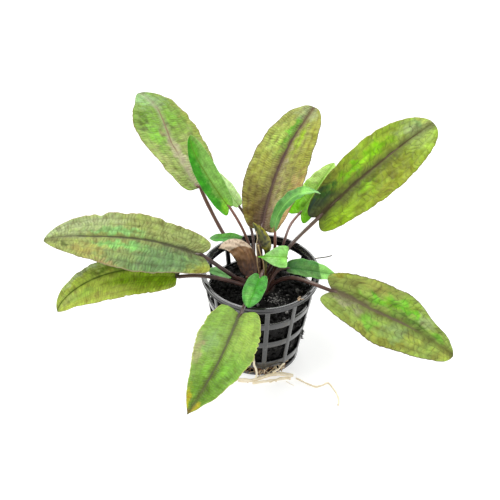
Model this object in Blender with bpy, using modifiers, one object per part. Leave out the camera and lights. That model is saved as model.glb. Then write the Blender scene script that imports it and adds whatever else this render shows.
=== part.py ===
"""Potted cryptocoryne: a black net pot with its fill, and a rosette of leaves that grows from one crown.

Everything is modelled in metres with +Z up. The origin is on the pot's axis at its foot, and the front
of the photo faces -Y. Lengths in the tables below are in millimetres and angles are in degrees.
"""
import math

import bmesh
import bpy
import numpy as np
from mathutils import Matrix, Vector

MM = 0.001
NAME = "potted_cryptocoryne"

# Pot
POT_HEIGHT = 48.0
RIM_RADIUS = 27.5
LIP_HEIGHT = 2.5
LIP_STEP = 1.2
WALL_TOP_RADIUS = 26.2
WALL_FOOT_RADIUS = 19.2
FOOT_RIM = 2.0
WALL = 1.2
RIBS = 12
RIB_WIDTH = 2.4
RIB_TURN = 8.3
WINDOW_ROWS = ((2.0, 5.0), (9.2, 19.6), (23.4, 32.3), (36.0, 44.0))
FLOOR_SLOTS = 6
FLOOR_SLOT = (7.5, 15.5, 3.6)
GAP = 0.3
POT_STEPS = 36
FILL_STEPS = 20
CROWN_STEPS = 14

# Fill and crown
FILL_TOP = 36.5
FILL_EDGE_DROP = 1.3
CROWN_Y = 2.0
CROWN_RADIUS = 7.0
CROWN_TOP = 39.0
ROOT_Z = 40.2

# Leaves
BLADE_THICKNESS = 0.6
BIG_STALK = 1.0
SMALL_STALK = 0.7
MIDRIB_STEPS = 60
STALK_UNDER_BLADE = 0.45

POT_BLACK = (0.022, 0.023, 0.025)
FILL_BLACK = (0.018, 0.016, 0.014)
CROWN_BROWN = (0.10, 0.055, 0.03)
LEAF_GREEN = (0.16, 0.24, 0.045)
LEAF_BRONZE = (0.17, 0.15, 0.05)
YOUNG_GREEN = (0.10, 0.30, 0.04)
ROLLED_OLIVE = (0.22, 0.21, 0.05)
DRY_TAN = (0.30, 0.17, 0.09)
ROOT_CREAM = (0.72, 0.62, 0.42)


def at_crown(angle, radius=6.0):
    """Foot of a stalk on the crown: angle from +X, and distance from the crown's middle."""
    turn = math.radians(angle)
    return (radius * math.cos(turn), CROWN_Y + radius * math.sin(turn), ROOT_Z)


# One row per leaf: where the blade starts, heading and pitch there, how they change, length and the
# half-widths, then the shape of each side as (left, right) and how the stalk leaves the crown.
LEAVES = {
    "leaf_back_left": dict(
        base=(-29.1, 32.5, 71.3), heading=121, turn=-3, pitch=24, tip_pitch=-5, length=70,
        width=(13.5, 13.8), lobe=(0.8, 3), roll=0, widest=(0.5, 0.48), base_width=(0.4, 0.42),
        bulge=((1, 0.9, 0.11, -2.4), (1, 0.52, 0.16, 1.2)),
        tip=(0.9, 0.42), fold=(6, 6), root=at_crown(142), up=(-0.7, 0.85, 0.6),
        lead=(-0.35, 0.3, 0.85), up_share=0.35),
    "leaf_back": dict(
        base=(0, 12.8, 63), heading=80, turn=-26, pitch=34, tip_pitch=20, length=68,
        width=(13.5, 14), lobe=(1, 2), roll=0, widest=(0.45, 0.5), base_width=(0.32, 0.4),
        bulge=((-1, 0.36, 0.16, 1.8), (1, 0.3, 0.2, 0.6)),
        tip=(0.5, 0.5), fold=(14, 14), root=at_crown(84, 6.4)),
    "leaf_back_right": dict(
        base=(27.3, 36, 52.5), heading=45, turn=-10, pitch=22, tip_pitch=14, length=77,
        width=(13, 14), lobe=(3, 4.5), roll=24, widest=(0.55, 0.55), base_width=(0.3, 0.38),
        bulge=((1, 0.6, 0.25, 0.8), (-1, 0.45, 0.34, 2.4)),
        tip=(0.5, 0.42), fold=(5, 5), root=at_crown(20), up=(0.3, 0.3, 1)),
    "leaf_left": dict(
        base=(-27.4, -3.7, 60), heading=172, turn=10, pitch=12, tip_pitch=-9, length=72.5,
        width=(13, 13), lobe=(6, 3.5), roll=-30, widest=(0.38, 0.42), base_width=(0.5, 0.36),
        bulge=((1, 0.4, 0.2, 2.2), (-1, 0.17, 0.12, -1.1)),
        tip=(0.8, 0.6), fold=(4, 4), root=at_crown(213), up=(-1, -0.3, 0.9), lead=(-0.8, 0.1, 0.6)),
    "leaf_left_lower": dict(
        base=(-38.2, -7.2, 49), heading=178, turn=12, pitch=2, tip_pitch=-42, length=60.5,
        width=(9.6, 12), lobe=(0, 2), roll=-36, tip=(0.8, 0.6), fold=(18, 18),
        bulge=((1, 0.85, 0.2, -2.3), (1, 0.5, 0.25, -1)),
        root=at_crown(240), up=(-0.8, -0.5, 0.7), lead=(-1, 0.1, -0.3)),
    "leaf_front": dict(
        base=(-8.5, -34, 50.8), heading=258, turn=-12, pitch=4, tip_pitch=-4, length=66.5,
        width=(13.2, 12.5), lobe=(2.6, 4.2), roll=0, widest=(0.34, 0.33), tip=(0.9, 0.95),
        base_width=(0.42, 0.68),
        bulge=((1, 0.1, 0.1, -0.6), (1, 0.45, 0.12, 1), (-1, 0.12, 0.1, 1.3), (-1, 0.3, 0.14, 1.7),
               (-1, 0.7, 0.15, -0.8)),
        fold=(4, 4), root=at_crown(266), up=(-0.2, -1, 0.7)),
    "leaf_front_right": dict(
        base=(32.9, -16, 50.6), heading=349, turn=-12, pitch=-12, tip_pitch=-31, length=62.5,
        width=(12.2, 12.5), lobe=(4, 4.5), roll=36, widest=(0.42, 0.52), base_width=(0.45, 0.4),
        bulge=((1, 0.76, 0.12, -2.2), (1, 0.55, 0.1, 0.5), (-1, 0.42, 0.2, 3.2), (-1, 0.14, 0.12, 0.8),
               (-1, 0.9, 0.08, -1.3)),
        tip=(0.75, 0.5), fold=(5, 5), root=at_crown(332), up=(0.8, -0.1, 1)),
    "young_leaf_tall": dict(
        base=(-15.4, 22.2, 68), heading=146, pitch=46, tip_pitch=62, length=38,
        width=(6.8, 4.4), lobe=(3, 1), roll=-34, base_width=(0.5, 0.3), fold=(12, 12),
        root=at_crown(106, 4.4), up=(-0.3, 0.5, 1)),
    "young_leaf_back": dict(
        base=(-10.7, 32.9, 60), heading=142, pitch=38, tip_pitch=30, length=22,
        width=(4.2, 4), lobe=(0, 0), roll=-10, base_width=(0.3, 0.3), fold=(10, 10),
        root=at_crown(120, 6.6), up=(0, 0.9, 1)),
    "young_leaf_right": dict(
        base=(18.6, 41, 51.3), heading=59, pitch=20, tip_pitch=16, length=33,
        width=(6.9, 7.8), lobe=(3, 5.5), roll=0, widest=(0.25, 0.25), tip=(0.7, 0.7),
        base_width=(0.66, 0.66), fold=(8, 8), root=at_crown(48, 6.3), up=(0.6, 0.5, 1),
        lead=(0.5, 0.7, 0.1), up_share=0.5),
    "young_leaf_curved": dict(
        base=(5.5, 7.5, 67.6), heading=34, turn=-12, pitch=82, tip_pitch=-44, late=1.3, length=33,
        width=(3.3, 4), lobe=(1, 1), roll=2, base_width=(0.5, 0.5), tip=(0.7, 0.7), fold=(15, 15),
        root=at_crown(62, 3.4), up=(0.5, -0.1, 1), lead=(-0.15, 0.1, 1)),
    "young_leaf_flat": dict(
        base=(-9.5, 15.9, 53.9), heading=172, pitch=0, tip_pitch=-14, length=15,
        width=(3.8, 3.2), lobe=(0.6, 0.6), roll=0, fold=(6, 6), root=at_crown(162, 3.8),
        up=(0, 0.5, 1), lead=(-0.3, 0.5, 0.8)),
    "young_leaf_centre": dict(
        base=(11.9, -0.9, 56.9), heading=180, pitch=6, tip_pitch=-6, length=13.2,
        width=(5.2, 5.4), lobe=(0.4, 0.4), roll=-40, widest=(0.14, 0.1), tip=(1.6, 2.3),
        base_width=(0.8, 0.8), fold=(8, 8), root=at_crown(352, 5.0), up=(0.3, 0.9, 1),
        lead=(0.6, -0.3, 0.7)),
    "young_leaf_rim_right": dict(
        base=(12.8, -1.3, 51.2), heading=352, pitch=2, tip_pitch=-8, length=23,
        width=(5.4, 4.2), lobe=(1, 0.6), roll=16, widest=(0.25, 0.6), tip=(1.0, 0.5),
        fold=(8, 8), root=at_crown(306), up=(0.3, 0, 1)),
    "young_leaf_front": dict(
        base=(-0.2, -13.6, 55.6), heading=254, pitch=-6, tip_pitch=-16, length=18.4,
        width=(4.9, 5.2), lobe=(1.2, 1.6), roll=0, fold=(8, 8), root=at_crown(286, 3.0)),
    "young_leaf_rim_left": dict(
        base=(-13.8, 1, 43.6), heading=172, pitch=14, tip_pitch=8, length=11,
        width=(2.6, 2.6), lobe=(0.5, 0.5), roll=-10, fold=(8, 8), root=at_crown(193),
        up=(-0.6, -0.3, 1)),
    "dry_leaf": dict(
        base=(-6.0, 0.6, 43.9), heading=82, turn=112, pitch=66, tip_pitch=-46, late=1.6, length=25,
        width=(4.9, 4.8), lobe=(0, 0), roll=-30, widest=(0.35, 0.35), tip=(0.85, 0.85),
        base_width=(0.8, 0.8), fold=(-8, -8), root=at_crown(166, 5.8)),
}

# Points along the rolled leaf with its radius at each
ROLLED_LEAF = (
    ((1.2, 1.4, 40.2), 0.8), ((2.0, 2.1, 47.0), 0.8), ((2.6, 3.3, 54.0), 0.9), ((2.8, 4.1, 56.9), 1.6),
    ((2.6, 4.6, 58.4), 2.4), ((2.1, 5.2, 60.4), 2.7), ((1.4, 5.9, 62.0), 2.75), ((-0.2, 6.6, 64.9), 2.5),
    ((-1.9, 7.0, 67.4), 1.7), ((-4.1, 7.4, 70.0), 0.4))

# Roots that lie on the table in front of the pot: radius, then the points that the middle passes
ROOTS = {
    "root_main": (0.7, ((-9.0, -23.6, 0.7), (-5.2, -24.1, 0.7), (-1.5, -23.3, 0.9), (2.7, -21.8, 1.4),
                        (5.9, -20.9, 2.0), (10.7, -20.2, 2.3), (14.4, -20.7, 2.2), (16.8, -20.6, 1.8))),
    "root_second": (0.5, ((-2.0, -25.4, 0.5), (3.2, -24.0, 0.5), (7.9, -22.9, 0.5), (13.4, -21.4, 0.5),
                          (15.8, -21.6, 0.5))),
    "root_loop": (0.45, ((-1.7, -21.9, 9.2), (-0.8, -22.1, 6.7), (-0.3, -22.5, 4.1), (-0.9, -24.2, 2.7))),
    "root_branch": (0.45, ((11.3, -17.1, 5.0), (9.7, -18.9, 4.1), (7.0, -20.5, 3.5))),
    "root_trailing": (0.4, ((18.2, -21.2, 0.4), (21.9, -23.4, 0.4), (24.7, -25.3, 0.4), (27.5, -26.5, 0.4),
                            (30.8, -25.0, 0.4), (33.2, -23.6, 0.4), (35.4, -26.9, 0.4), (37.2, -30.8, 0.4),
                            (38.0, -34.7, 0.4), (37.5, -38.1, 0.4))),
}


def clear_scene():
    for item in list(bpy.data.objects):
        bpy.data.objects.remove(item, do_unlink=True)


def new_collection(name):
    group = bpy.data.collections.new(name)
    bpy.context.scene.collection.children.link(group)
    return group


def plain_material(name, color, roughness):
    material = bpy.data.materials.new(name)
    material.use_nodes = True
    shader = material.node_tree.nodes["Principled BSDF"]
    shader.inputs["Base Color"].default_value = (*color, 1.0)
    shader.inputs["Roughness"].default_value = roughness
    material.diffuse_color = (*color, 1.0)
    return material


def mesh_object(name, points, faces, group, edges=()):
    """Mesh object from points in millimetres."""
    mesh = bpy.data.meshes.new(name)
    mesh.from_pydata([(x * MM, y * MM, z * MM) for x, y, z in points], list(edges), list(faces))
    mesh.update()
    body = bpy.data.objects.new(name, mesh)
    group.objects.link(body)
    return body


def finish(body, material, smooth_angle=None):
    body.data.materials.append(material)
    if smooth_angle is not None:
        body.data.shade_smooth()
        body.data.set_sharp_from_angle(angle=math.radians(smooth_angle))


def hide_as_cutter(body):
    body.hide_render = True
    body.display_type = "WIRE"


def boolean(body, other, operation):
    step = body.modifiers.new(operation.title(), "BOOLEAN")
    step.solver = "EXACT"
    step.operation = operation
    step.object = other


def turned(name, profile, group, steps, middle=(0.0, 0.0)):
    """Solid of revolution from (radius, height) points; the outer side runs from top to bottom."""
    points = [(radius, 0.0, height) for radius, height in profile]
    links = [(i, i + 1) for i in range(len(points) - 1)]
    body = mesh_object(name, points, (), group, links)
    body.location = (middle[0] * MM, middle[1] * MM, 0.0)
    spin = body.modifiers.new("Turn", "SCREW")
    spin.axis = "Z"
    spin.steps = steps
    spin.render_steps = steps
    spin.use_merge_vertices = True
    spin.merge_threshold = 1e-5
    spin.use_smooth_shade = False
    return body


def wall_radius(height):
    """Outer radius of the tapered wall at a height."""
    share = (height - FOOT_RIM) / (POT_HEIGHT - LIP_HEIGHT - FOOT_RIM)
    return WALL_FOOT_RADIUS + (WALL_TOP_RADIUS - WALL_FOOT_RADIUS) * max(share, 0.0)


def window_cutters(group):
    """Blocks for the windows in the wall, with ribs left between them, and for the slots in the floor."""
    shape = bmesh.new()
    for row_low, row_high in WINDOW_ROWS:
        radius = wall_radius((row_low + row_high) / 2)
        width = 2 * radius * math.sin(math.pi / RIBS) - RIB_WIDTH
        for i in range(RIBS):
            turn = Matrix.Rotation(math.radians(RIB_TURN) + math.tau * (i + 0.5) / RIBS, 4, "Z")
            size = Matrix.Diagonal((9.0 * MM, width * MM, (row_high - row_low) * MM, 1.0))
            place = Matrix.Translation((radius * MM, 0, (row_low + row_high) / 2 * MM))
            bmesh.ops.create_cube(shape, size=1.0, matrix=turn @ place @ size)
    slot_in, slot_out, slot_width = FLOOR_SLOT
    for i in range(FLOOR_SLOTS):
        turn = Matrix.Rotation(math.tau * i / FLOOR_SLOTS, 4, "Z")
        size = Matrix.Diagonal(((slot_out - slot_in) * MM, slot_width * MM, 2 * WALL * MM, 1.0))
        place = Matrix.Translation(((slot_in + slot_out) / 2 * MM, 0, WALL / 2 * MM))
        bmesh.ops.create_cube(shape, size=1.0, matrix=turn @ place @ size)
    mesh = bpy.data.meshes.new("window_cutters")
    shape.to_mesh(mesh)
    shape.free()
    body = bpy.data.objects.new("window_cutters", mesh)
    group.objects.link(body)
    hide_as_cutter(body)
    return body


def build_pot(group, cutters):
    """Tapered wall with a floor and a stepped lip, then windows cut through it."""
    lip_foot = POT_HEIGHT - LIP_HEIGHT
    step = POT_HEIGHT - LIP_STEP
    profile = [
        (0.0, WALL), (WALL_FOOT_RADIUS - WALL, WALL), (WALL_FOOT_RADIUS - WALL, FOOT_RIM),
        (WALL_TOP_RADIUS - WALL, lip_foot), (WALL_TOP_RADIUS - WALL, step),
        (WALL_TOP_RADIUS - 0.1, step), (WALL_TOP_RADIUS - 0.1, POT_HEIGHT),
        (RIM_RADIUS - 0.3, POT_HEIGHT), (RIM_RADIUS, POT_HEIGHT - 0.3), (RIM_RADIUS, lip_foot),
        (WALL_TOP_RADIUS, lip_foot), (WALL_FOOT_RADIUS, FOOT_RIM), (WALL_FOOT_RADIUS, 0.0), (0.0, 0.0)]
    body = turned("pot", profile, group, POT_STEPS)
    boolean(body, window_cutters(cutters), "DIFFERENCE")
    finish(body, plain_material("pot_black", POT_BLACK, 0.35), 35)


def build_fill(group):
    """Fill of the pot: a plug just inside the wall with a low mound on top."""
    foot = WALL + GAP
    edge = FILL_TOP - FILL_EDGE_DROP
    inside = WALL + GAP
    profile = [
        (0.0, FILL_TOP), (CROWN_RADIUS + 2.0, FILL_TOP - 0.2), (16.5, FILL_TOP - 0.5),
        (wall_radius(edge) - inside, edge), (WALL_FOOT_RADIUS - inside, FOOT_RIM),
        (WALL_FOOT_RADIUS - inside, foot), (0.0, foot)]
    body = turned("growing_medium", profile, group, FILL_STEPS)
    finish(body, plain_material("fill_black", FILL_BLACK, 0.95), 40)


def build_crown(group):
    """Low dome of the rhizome on top of the fill."""
    foot = FILL_TOP + GAP
    rise = CROWN_TOP - foot
    profile = [(0.0, CROWN_TOP), (CROWN_RADIUS * 0.55, CROWN_TOP - 0.15 * rise),
               (CROWN_RADIUS * 0.85, CROWN_TOP - 0.45 * rise), (CROWN_RADIUS, foot + 0.15 * rise),
               (CROWN_RADIUS * 0.95, foot), (0.0, foot)]
    body = turned("crown", profile, group, CROWN_STEPS, (0.0, CROWN_Y))
    finish(body, plain_material("crown_brown", CROWN_BROWN, 0.8), 50)


def midrib(leaf, share):
    """Points on the midrib at a share of the length, with the ways forward, left and up there.

    The way forward turns evenly from the base, its pitch changes to tip_pitch, and the points are its
    sum. A negative share runs straight back from the base, for the lobes.
    """
    s = np.linspace(0.0, 1.0, MIDRIB_STEPS + 1)
    heading = np.radians(leaf["heading"] + leaf.get("turn", 0) * s)
    bend = (leaf["tip_pitch"] - leaf["pitch"]) * s ** leaf.get("late", 1.0)
    pitch = np.radians(leaf["pitch"] + bend)
    ahead = np.stack([np.cos(pitch) * np.cos(heading), np.cos(pitch) * np.sin(heading), np.sin(pitch)], 1)
    walk = np.cumsum(0.5 * (ahead[1:] + ahead[:-1]) * leaf["length"] / MIDRIB_STEPS, 0)
    track = np.vstack([np.zeros((1, 3)), walk]) + np.array(leaf["base"], float)
    inside = np.clip(share, 0.0, 1.0)
    point = np.stack([np.interp(inside, s, track[:, i]) for i in range(3)], -1)
    front = np.stack([np.interp(inside, s, ahead[:, i]) for i in range(3)], -1)
    front /= np.linalg.norm(front, axis=-1, keepdims=True)
    turn = np.interp(inside, s, heading)
    left = np.stack([-np.sin(turn), np.cos(turn), np.zeros_like(turn)], -1)
    up = np.cross(front, left)
    roll = math.radians(leaf["roll"])
    left, up = left * math.cos(roll) + up * math.sin(roll), up * math.cos(roll) - left * math.sin(roll)
    point = point + np.minimum(share, 0.0)[..., None] * leaf["length"] * front
    return point, front, left, up


def blade_points(leaf, share, side):
    """Points of the blade at a share of the length and a side from -1 (right) to 1 (left).

    The half-width grows as a quarter ellipse to its widest and closes as a power curve. Each half folds
    up from the midrib, and the base sweeps back on both sides into lobes. Each bulge (edge, share, reach,
    mm) widens or narrows one edge by a smooth hump.
    """
    def pick(key, default):
        values = leaf.get(key, default)
        return np.where(side > 0, values[0], values[1])
    widest = pick("widest", (0.42, 0.42))
    foot = pick("base_width", (0.42, 0.42))
    before = np.clip(1 - share / widest, 0, 1)
    after = np.clip((share - widest) / (1 - widest), 0, 1)
    half = np.where(share < widest, foot + (1 - foot) * np.sqrt(1 - before ** 2),
                    (1 - after ** 2.2) ** pick("tip", (0.62, 0.62)))
    width = pick("width", None) * half
    for edge, at, reach, amount in leaf.get("bulge", ()):
        width = width + amount * np.exp(-((share - at) / reach) ** 2) * (side * edge > 0) * (1 - share ** 8)
    width = np.maximum(width, 0.35)
    back = pick("lobe", None) / leaf["length"] * (1 - share) ** 5
    point, _, left, up = midrib(leaf, share - back * np.sin(math.pi / 2 * np.abs(side)))
    fold = np.radians(pick("fold", None))
    across = width * side * np.cos(fold)
    lift = width * np.abs(side) * np.sin(fold)
    return point + left * across[..., None] + up * lift[..., None]


def stalk_points(leaf, count):
    """Points of the stalk: a cubic curve from the crown to the foot of the blade."""
    foot = np.array(leaf["root"], float)
    top = np.array(leaf["base"], float)
    reach = np.linalg.norm(top - foot)
    rise = np.array(Vector(leaf.get("up", (0, 0, 1))).normalized())
    ahead = midrib(leaf, np.zeros(1))[1][0]
    lead = np.array(Vector(leaf.get("lead", ahead)).normalized())
    u = np.linspace(0.0, 1.0, count)[:, None]
    first = foot + rise * reach * leaf.get("up_share", 0.4)
    second = top - lead * reach * 0.4
    return ((1 - u) ** 3 * foot + 3 * (1 - u) ** 2 * u * first
            + 3 * (1 - u) * u ** 2 * second + u ** 3 * top)


def tube(name, points, radii, group, sides=2):
    """Closed round tube through points, as a mesh: sides sets how round it is."""
    curve = bpy.data.curves.new(name, "CURVE")
    curve.dimensions = "3D"
    curve.bevel_depth = MM
    curve.bevel_resolution = sides
    curve.use_fill_caps = True
    line = curve.splines.new("POLY")
    line.points.add(len(points) - 1)
    for place, point, radius in zip(line.points, points, radii):
        place.co = (*(value * MM for value in point), 1.0)
        place.radius = radius
    draft = bpy.data.objects.new(name + "_line", curve)
    group.objects.link(draft)
    bpy.context.view_layer.update()
    shaped = draft.evaluated_get(bpy.context.evaluated_depsgraph_get())
    mesh = bpy.data.meshes.new_from_object(shaped)
    bpy.data.objects.remove(draft, do_unlink=True)
    shape = bmesh.new()
    shape.from_mesh(mesh)
    bmesh.ops.remove_doubles(shape, verts=shape.verts, dist=1e-6)
    bmesh.ops.recalc_face_normals(shape, faces=shape.faces)
    shape.to_mesh(mesh)
    shape.free()
    mesh.name = name
    body = bpy.data.objects.new(name, mesh)
    group.objects.link(body)
    return body


def build_leaf(name, leaf, group, cutters, material):
    """Blade as a folded surface with thickness, joined to its stalk, which runs on as a midrib."""
    big = leaf["length"] > 55
    rows, columns = (12, 6) if big else (7, 4)
    share = 0.5 * (1 - np.cos(math.pi * np.linspace(0, 1, rows)))
    side = np.linspace(-1, 1, columns + 1)
    share, side = np.meshgrid(share, side, indexing="ij")
    points = blade_points(leaf, share, side).reshape(-1, 3)
    wide = columns + 1
    faces = [(r * wide + c, (r + 1) * wide + c, (r + 1) * wide + c + 1, r * wide + c + 1)
             for r in range(rows - 1) for c in range(columns)]
    body = mesh_object(name, points.tolist(), faces, group)
    thick = body.modifiers.new("Thickness", "SOLIDIFY")
    thick.thickness = BLADE_THICKNESS * MM
    thick.offset = 0.0
    radius = BIG_STALK if big else SMALL_STALK
    stalk = stalk_points(leaf, 9 if big else 6)
    under = midrib(leaf, np.linspace(0, STALK_UNDER_BLADE, 4)[1:])[0]
    radii = [radius] * len(stalk) + [radius * (0.95 - 0.12 * i) for i in range(len(under))]
    line = tube(name + "_stalk", np.vstack([stalk, under]).tolist(), radii, cutters, 1)
    hide_as_cutter(line)
    boolean(body, line, "UNION")
    finish(body, material, 50)


def build_leaves(group, cutters):
    green = plain_material("leaf_green", LEAF_GREEN, 0.45)
    bronze = plain_material("leaf_bronze", LEAF_BRONZE, 0.45)
    young = plain_material("young_green", YOUNG_GREEN, 0.4)
    dry = plain_material("dry_tan", DRY_TAN, 0.9)
    for name, leaf in LEAVES.items():
        if name == "dry_leaf":
            material = dry
        elif name == "leaf_back":
            material = bronze
        else:
            material = young if name.startswith("young") else green
        build_leaf(name, leaf, group, cutters, material)


def build_rolled_leaf(group):
    points = [point for point, _ in ROLLED_LEAF]
    radii = [radius for _, radius in ROLLED_LEAF]
    body = tube("rolled_leaf", points, radii, group)
    finish(body, plain_material("rolled_olive", ROLLED_OLIVE, 0.5), 50)


def build_roots(group):
    material = plain_material("root_cream", ROOT_CREAM, 0.6)
    for name, (radius, points) in ROOTS.items():
        body = tube(name, points, [radius] * len(points), group, 1)
        finish(body, material, 50)


def main():
    clear_scene()
    group = new_collection(NAME)
    cutters = new_collection("cutters")
    build_pot(group, cutters)
    build_fill(group)
    build_crown(group)
    build_leaves(group, cutters)
    build_rolled_leaf(group)
    build_roots(group)


main()
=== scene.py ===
"""Potted cryptocoryne: a water plant in a black net pot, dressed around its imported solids.

Lengths in the tables are in millimetres and angles in degrees; meshes are made in metres, in the
frame of the solids: +Z up, the pot's axis at the origin and the front of the photo towards -Y.
"""

import math

import bmesh
import bpy
import numpy as np
from mathutils import Matrix, Vector


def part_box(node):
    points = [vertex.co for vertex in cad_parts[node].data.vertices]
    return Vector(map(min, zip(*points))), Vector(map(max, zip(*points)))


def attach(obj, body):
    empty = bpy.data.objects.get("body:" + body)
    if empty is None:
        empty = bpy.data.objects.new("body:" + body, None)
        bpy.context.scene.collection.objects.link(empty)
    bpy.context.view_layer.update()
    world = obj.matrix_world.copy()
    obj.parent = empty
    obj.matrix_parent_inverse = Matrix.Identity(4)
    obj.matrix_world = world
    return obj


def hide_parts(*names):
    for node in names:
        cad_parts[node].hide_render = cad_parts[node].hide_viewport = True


bl_info = {
    "name": "Potted Cryptocoryne",
    "version": (1, 0, 0),
    "blender": (4, 5, 0),
    "location": "View3D > Sidebar > Crypt",
    "description": "Builds a potted cryptocoryne: net pot, fill, leaves and roots",
    "category": "Add Mesh",
}

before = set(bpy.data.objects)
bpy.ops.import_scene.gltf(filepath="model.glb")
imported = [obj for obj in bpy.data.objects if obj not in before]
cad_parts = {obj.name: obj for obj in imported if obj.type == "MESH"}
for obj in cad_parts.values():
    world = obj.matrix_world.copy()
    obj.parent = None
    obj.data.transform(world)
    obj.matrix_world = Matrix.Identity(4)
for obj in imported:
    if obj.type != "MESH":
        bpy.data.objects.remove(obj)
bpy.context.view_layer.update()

MM = 0.001
TAU = math.tau
BODY = "root"
POT_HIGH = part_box("pot")[1]
FILL_LOW, FILL_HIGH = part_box("growing_medium")
CROWN_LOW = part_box("crown")[0]

# Pot
LIP_HEIGHT = 2.5
WALL = 1.2
WALL_TOP_RADIUS = 26.2
WALL_FOOT_RADIUS = 19.2
FOOT_RIM = 2.0
COLLAR_LOW = 44.0
RIB_TURN = 8.3
RIB_LOW, RIB_HIGH = 1.0, 45.0
RIB_PROUD = 0.12
BANDS = ((5.0, 9.2), (19.6, 23.4), (32.3, 36.0))
HUB_RADIUS = 7.6
LEDGE = 4.1
FLOOR_SLOTS = 6
SLOT_WIDTH = 3.6

# Fill
FILL_GAP = 1.6
FILL_EDGE_DROP = 1.3
FILL_FOOT = 3.0
TOP_LUMPS, SIDE_LUMPS = 0.55, 0.25
TOP_SHARE_OF_CRUMBS = 0.62

# Crown and stalks; every stalk leaves the crown at STALK_Z
CROWN_Y = 2.0
CROWN_RADIUS = 7.0
CROWN_DOME = 2.6
CROWN_DEPTH = 0.6
STUBS = 11
STALK_Z = 40.2

# Roots: how much thicker they are than in the table below, for the first two and for the others
PLUMP_FIRST_TWO, PLUMP = 1.25, 1.1

# Root fibres: how many in all and at the front, the front's range of angle in radians, strands on the table
FIBRES, FRONT_FIBRES = 130, 100
FRONT_TURN = (-2.2, -0.75)
TABLE_STRANDS = 3

# Camera
TILT, ROLL = 38.884, 1.617
DISTANCE, TARGET = 730.26, (-5.106, 0.0, 60.054)

# Stage, in metres: half the floor's side, the height that the lights aim at, and each light's name, place,
# size, power and colour
FLOOR_HALF = 30.0
LIGHT_AIM = 0.04
LIGHTS = (
    ("key", (-0.35, 0.05, 0.8), 0.55, 6.9, (1.0, 0.99, 0.97)),
    ("fill", (0.6, -0.5, 0.5), 0.8, 2.6, (1, 1, 1)),
    ("side", (0.55, 0.42, 0.14), 0.3, 1.6, (1, 1, 1)),
    ("back", (0.1, 0.8, 0.6), 0.6, 4.4, (1, 1, 1)),
)


def tone(text):
    """Linear colour of a hex code."""
    parts = [int(text[i:i + 2], 16) / 255 for i in (0, 2, 4)]
    return tuple(p / 12.92 if p <= 0.04045 else ((p + 0.055) / 1.055) ** 2.4 for p in parts)


def at_crown(angle, radius=6.0):
    """Foot of a stalk on the crown: angle from +X, and distance from the crown's middle."""
    turn = math.radians(angle)
    return (radius * math.cos(turn), CROWN_Y + radius * math.sin(turn), STALK_Z)


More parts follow.
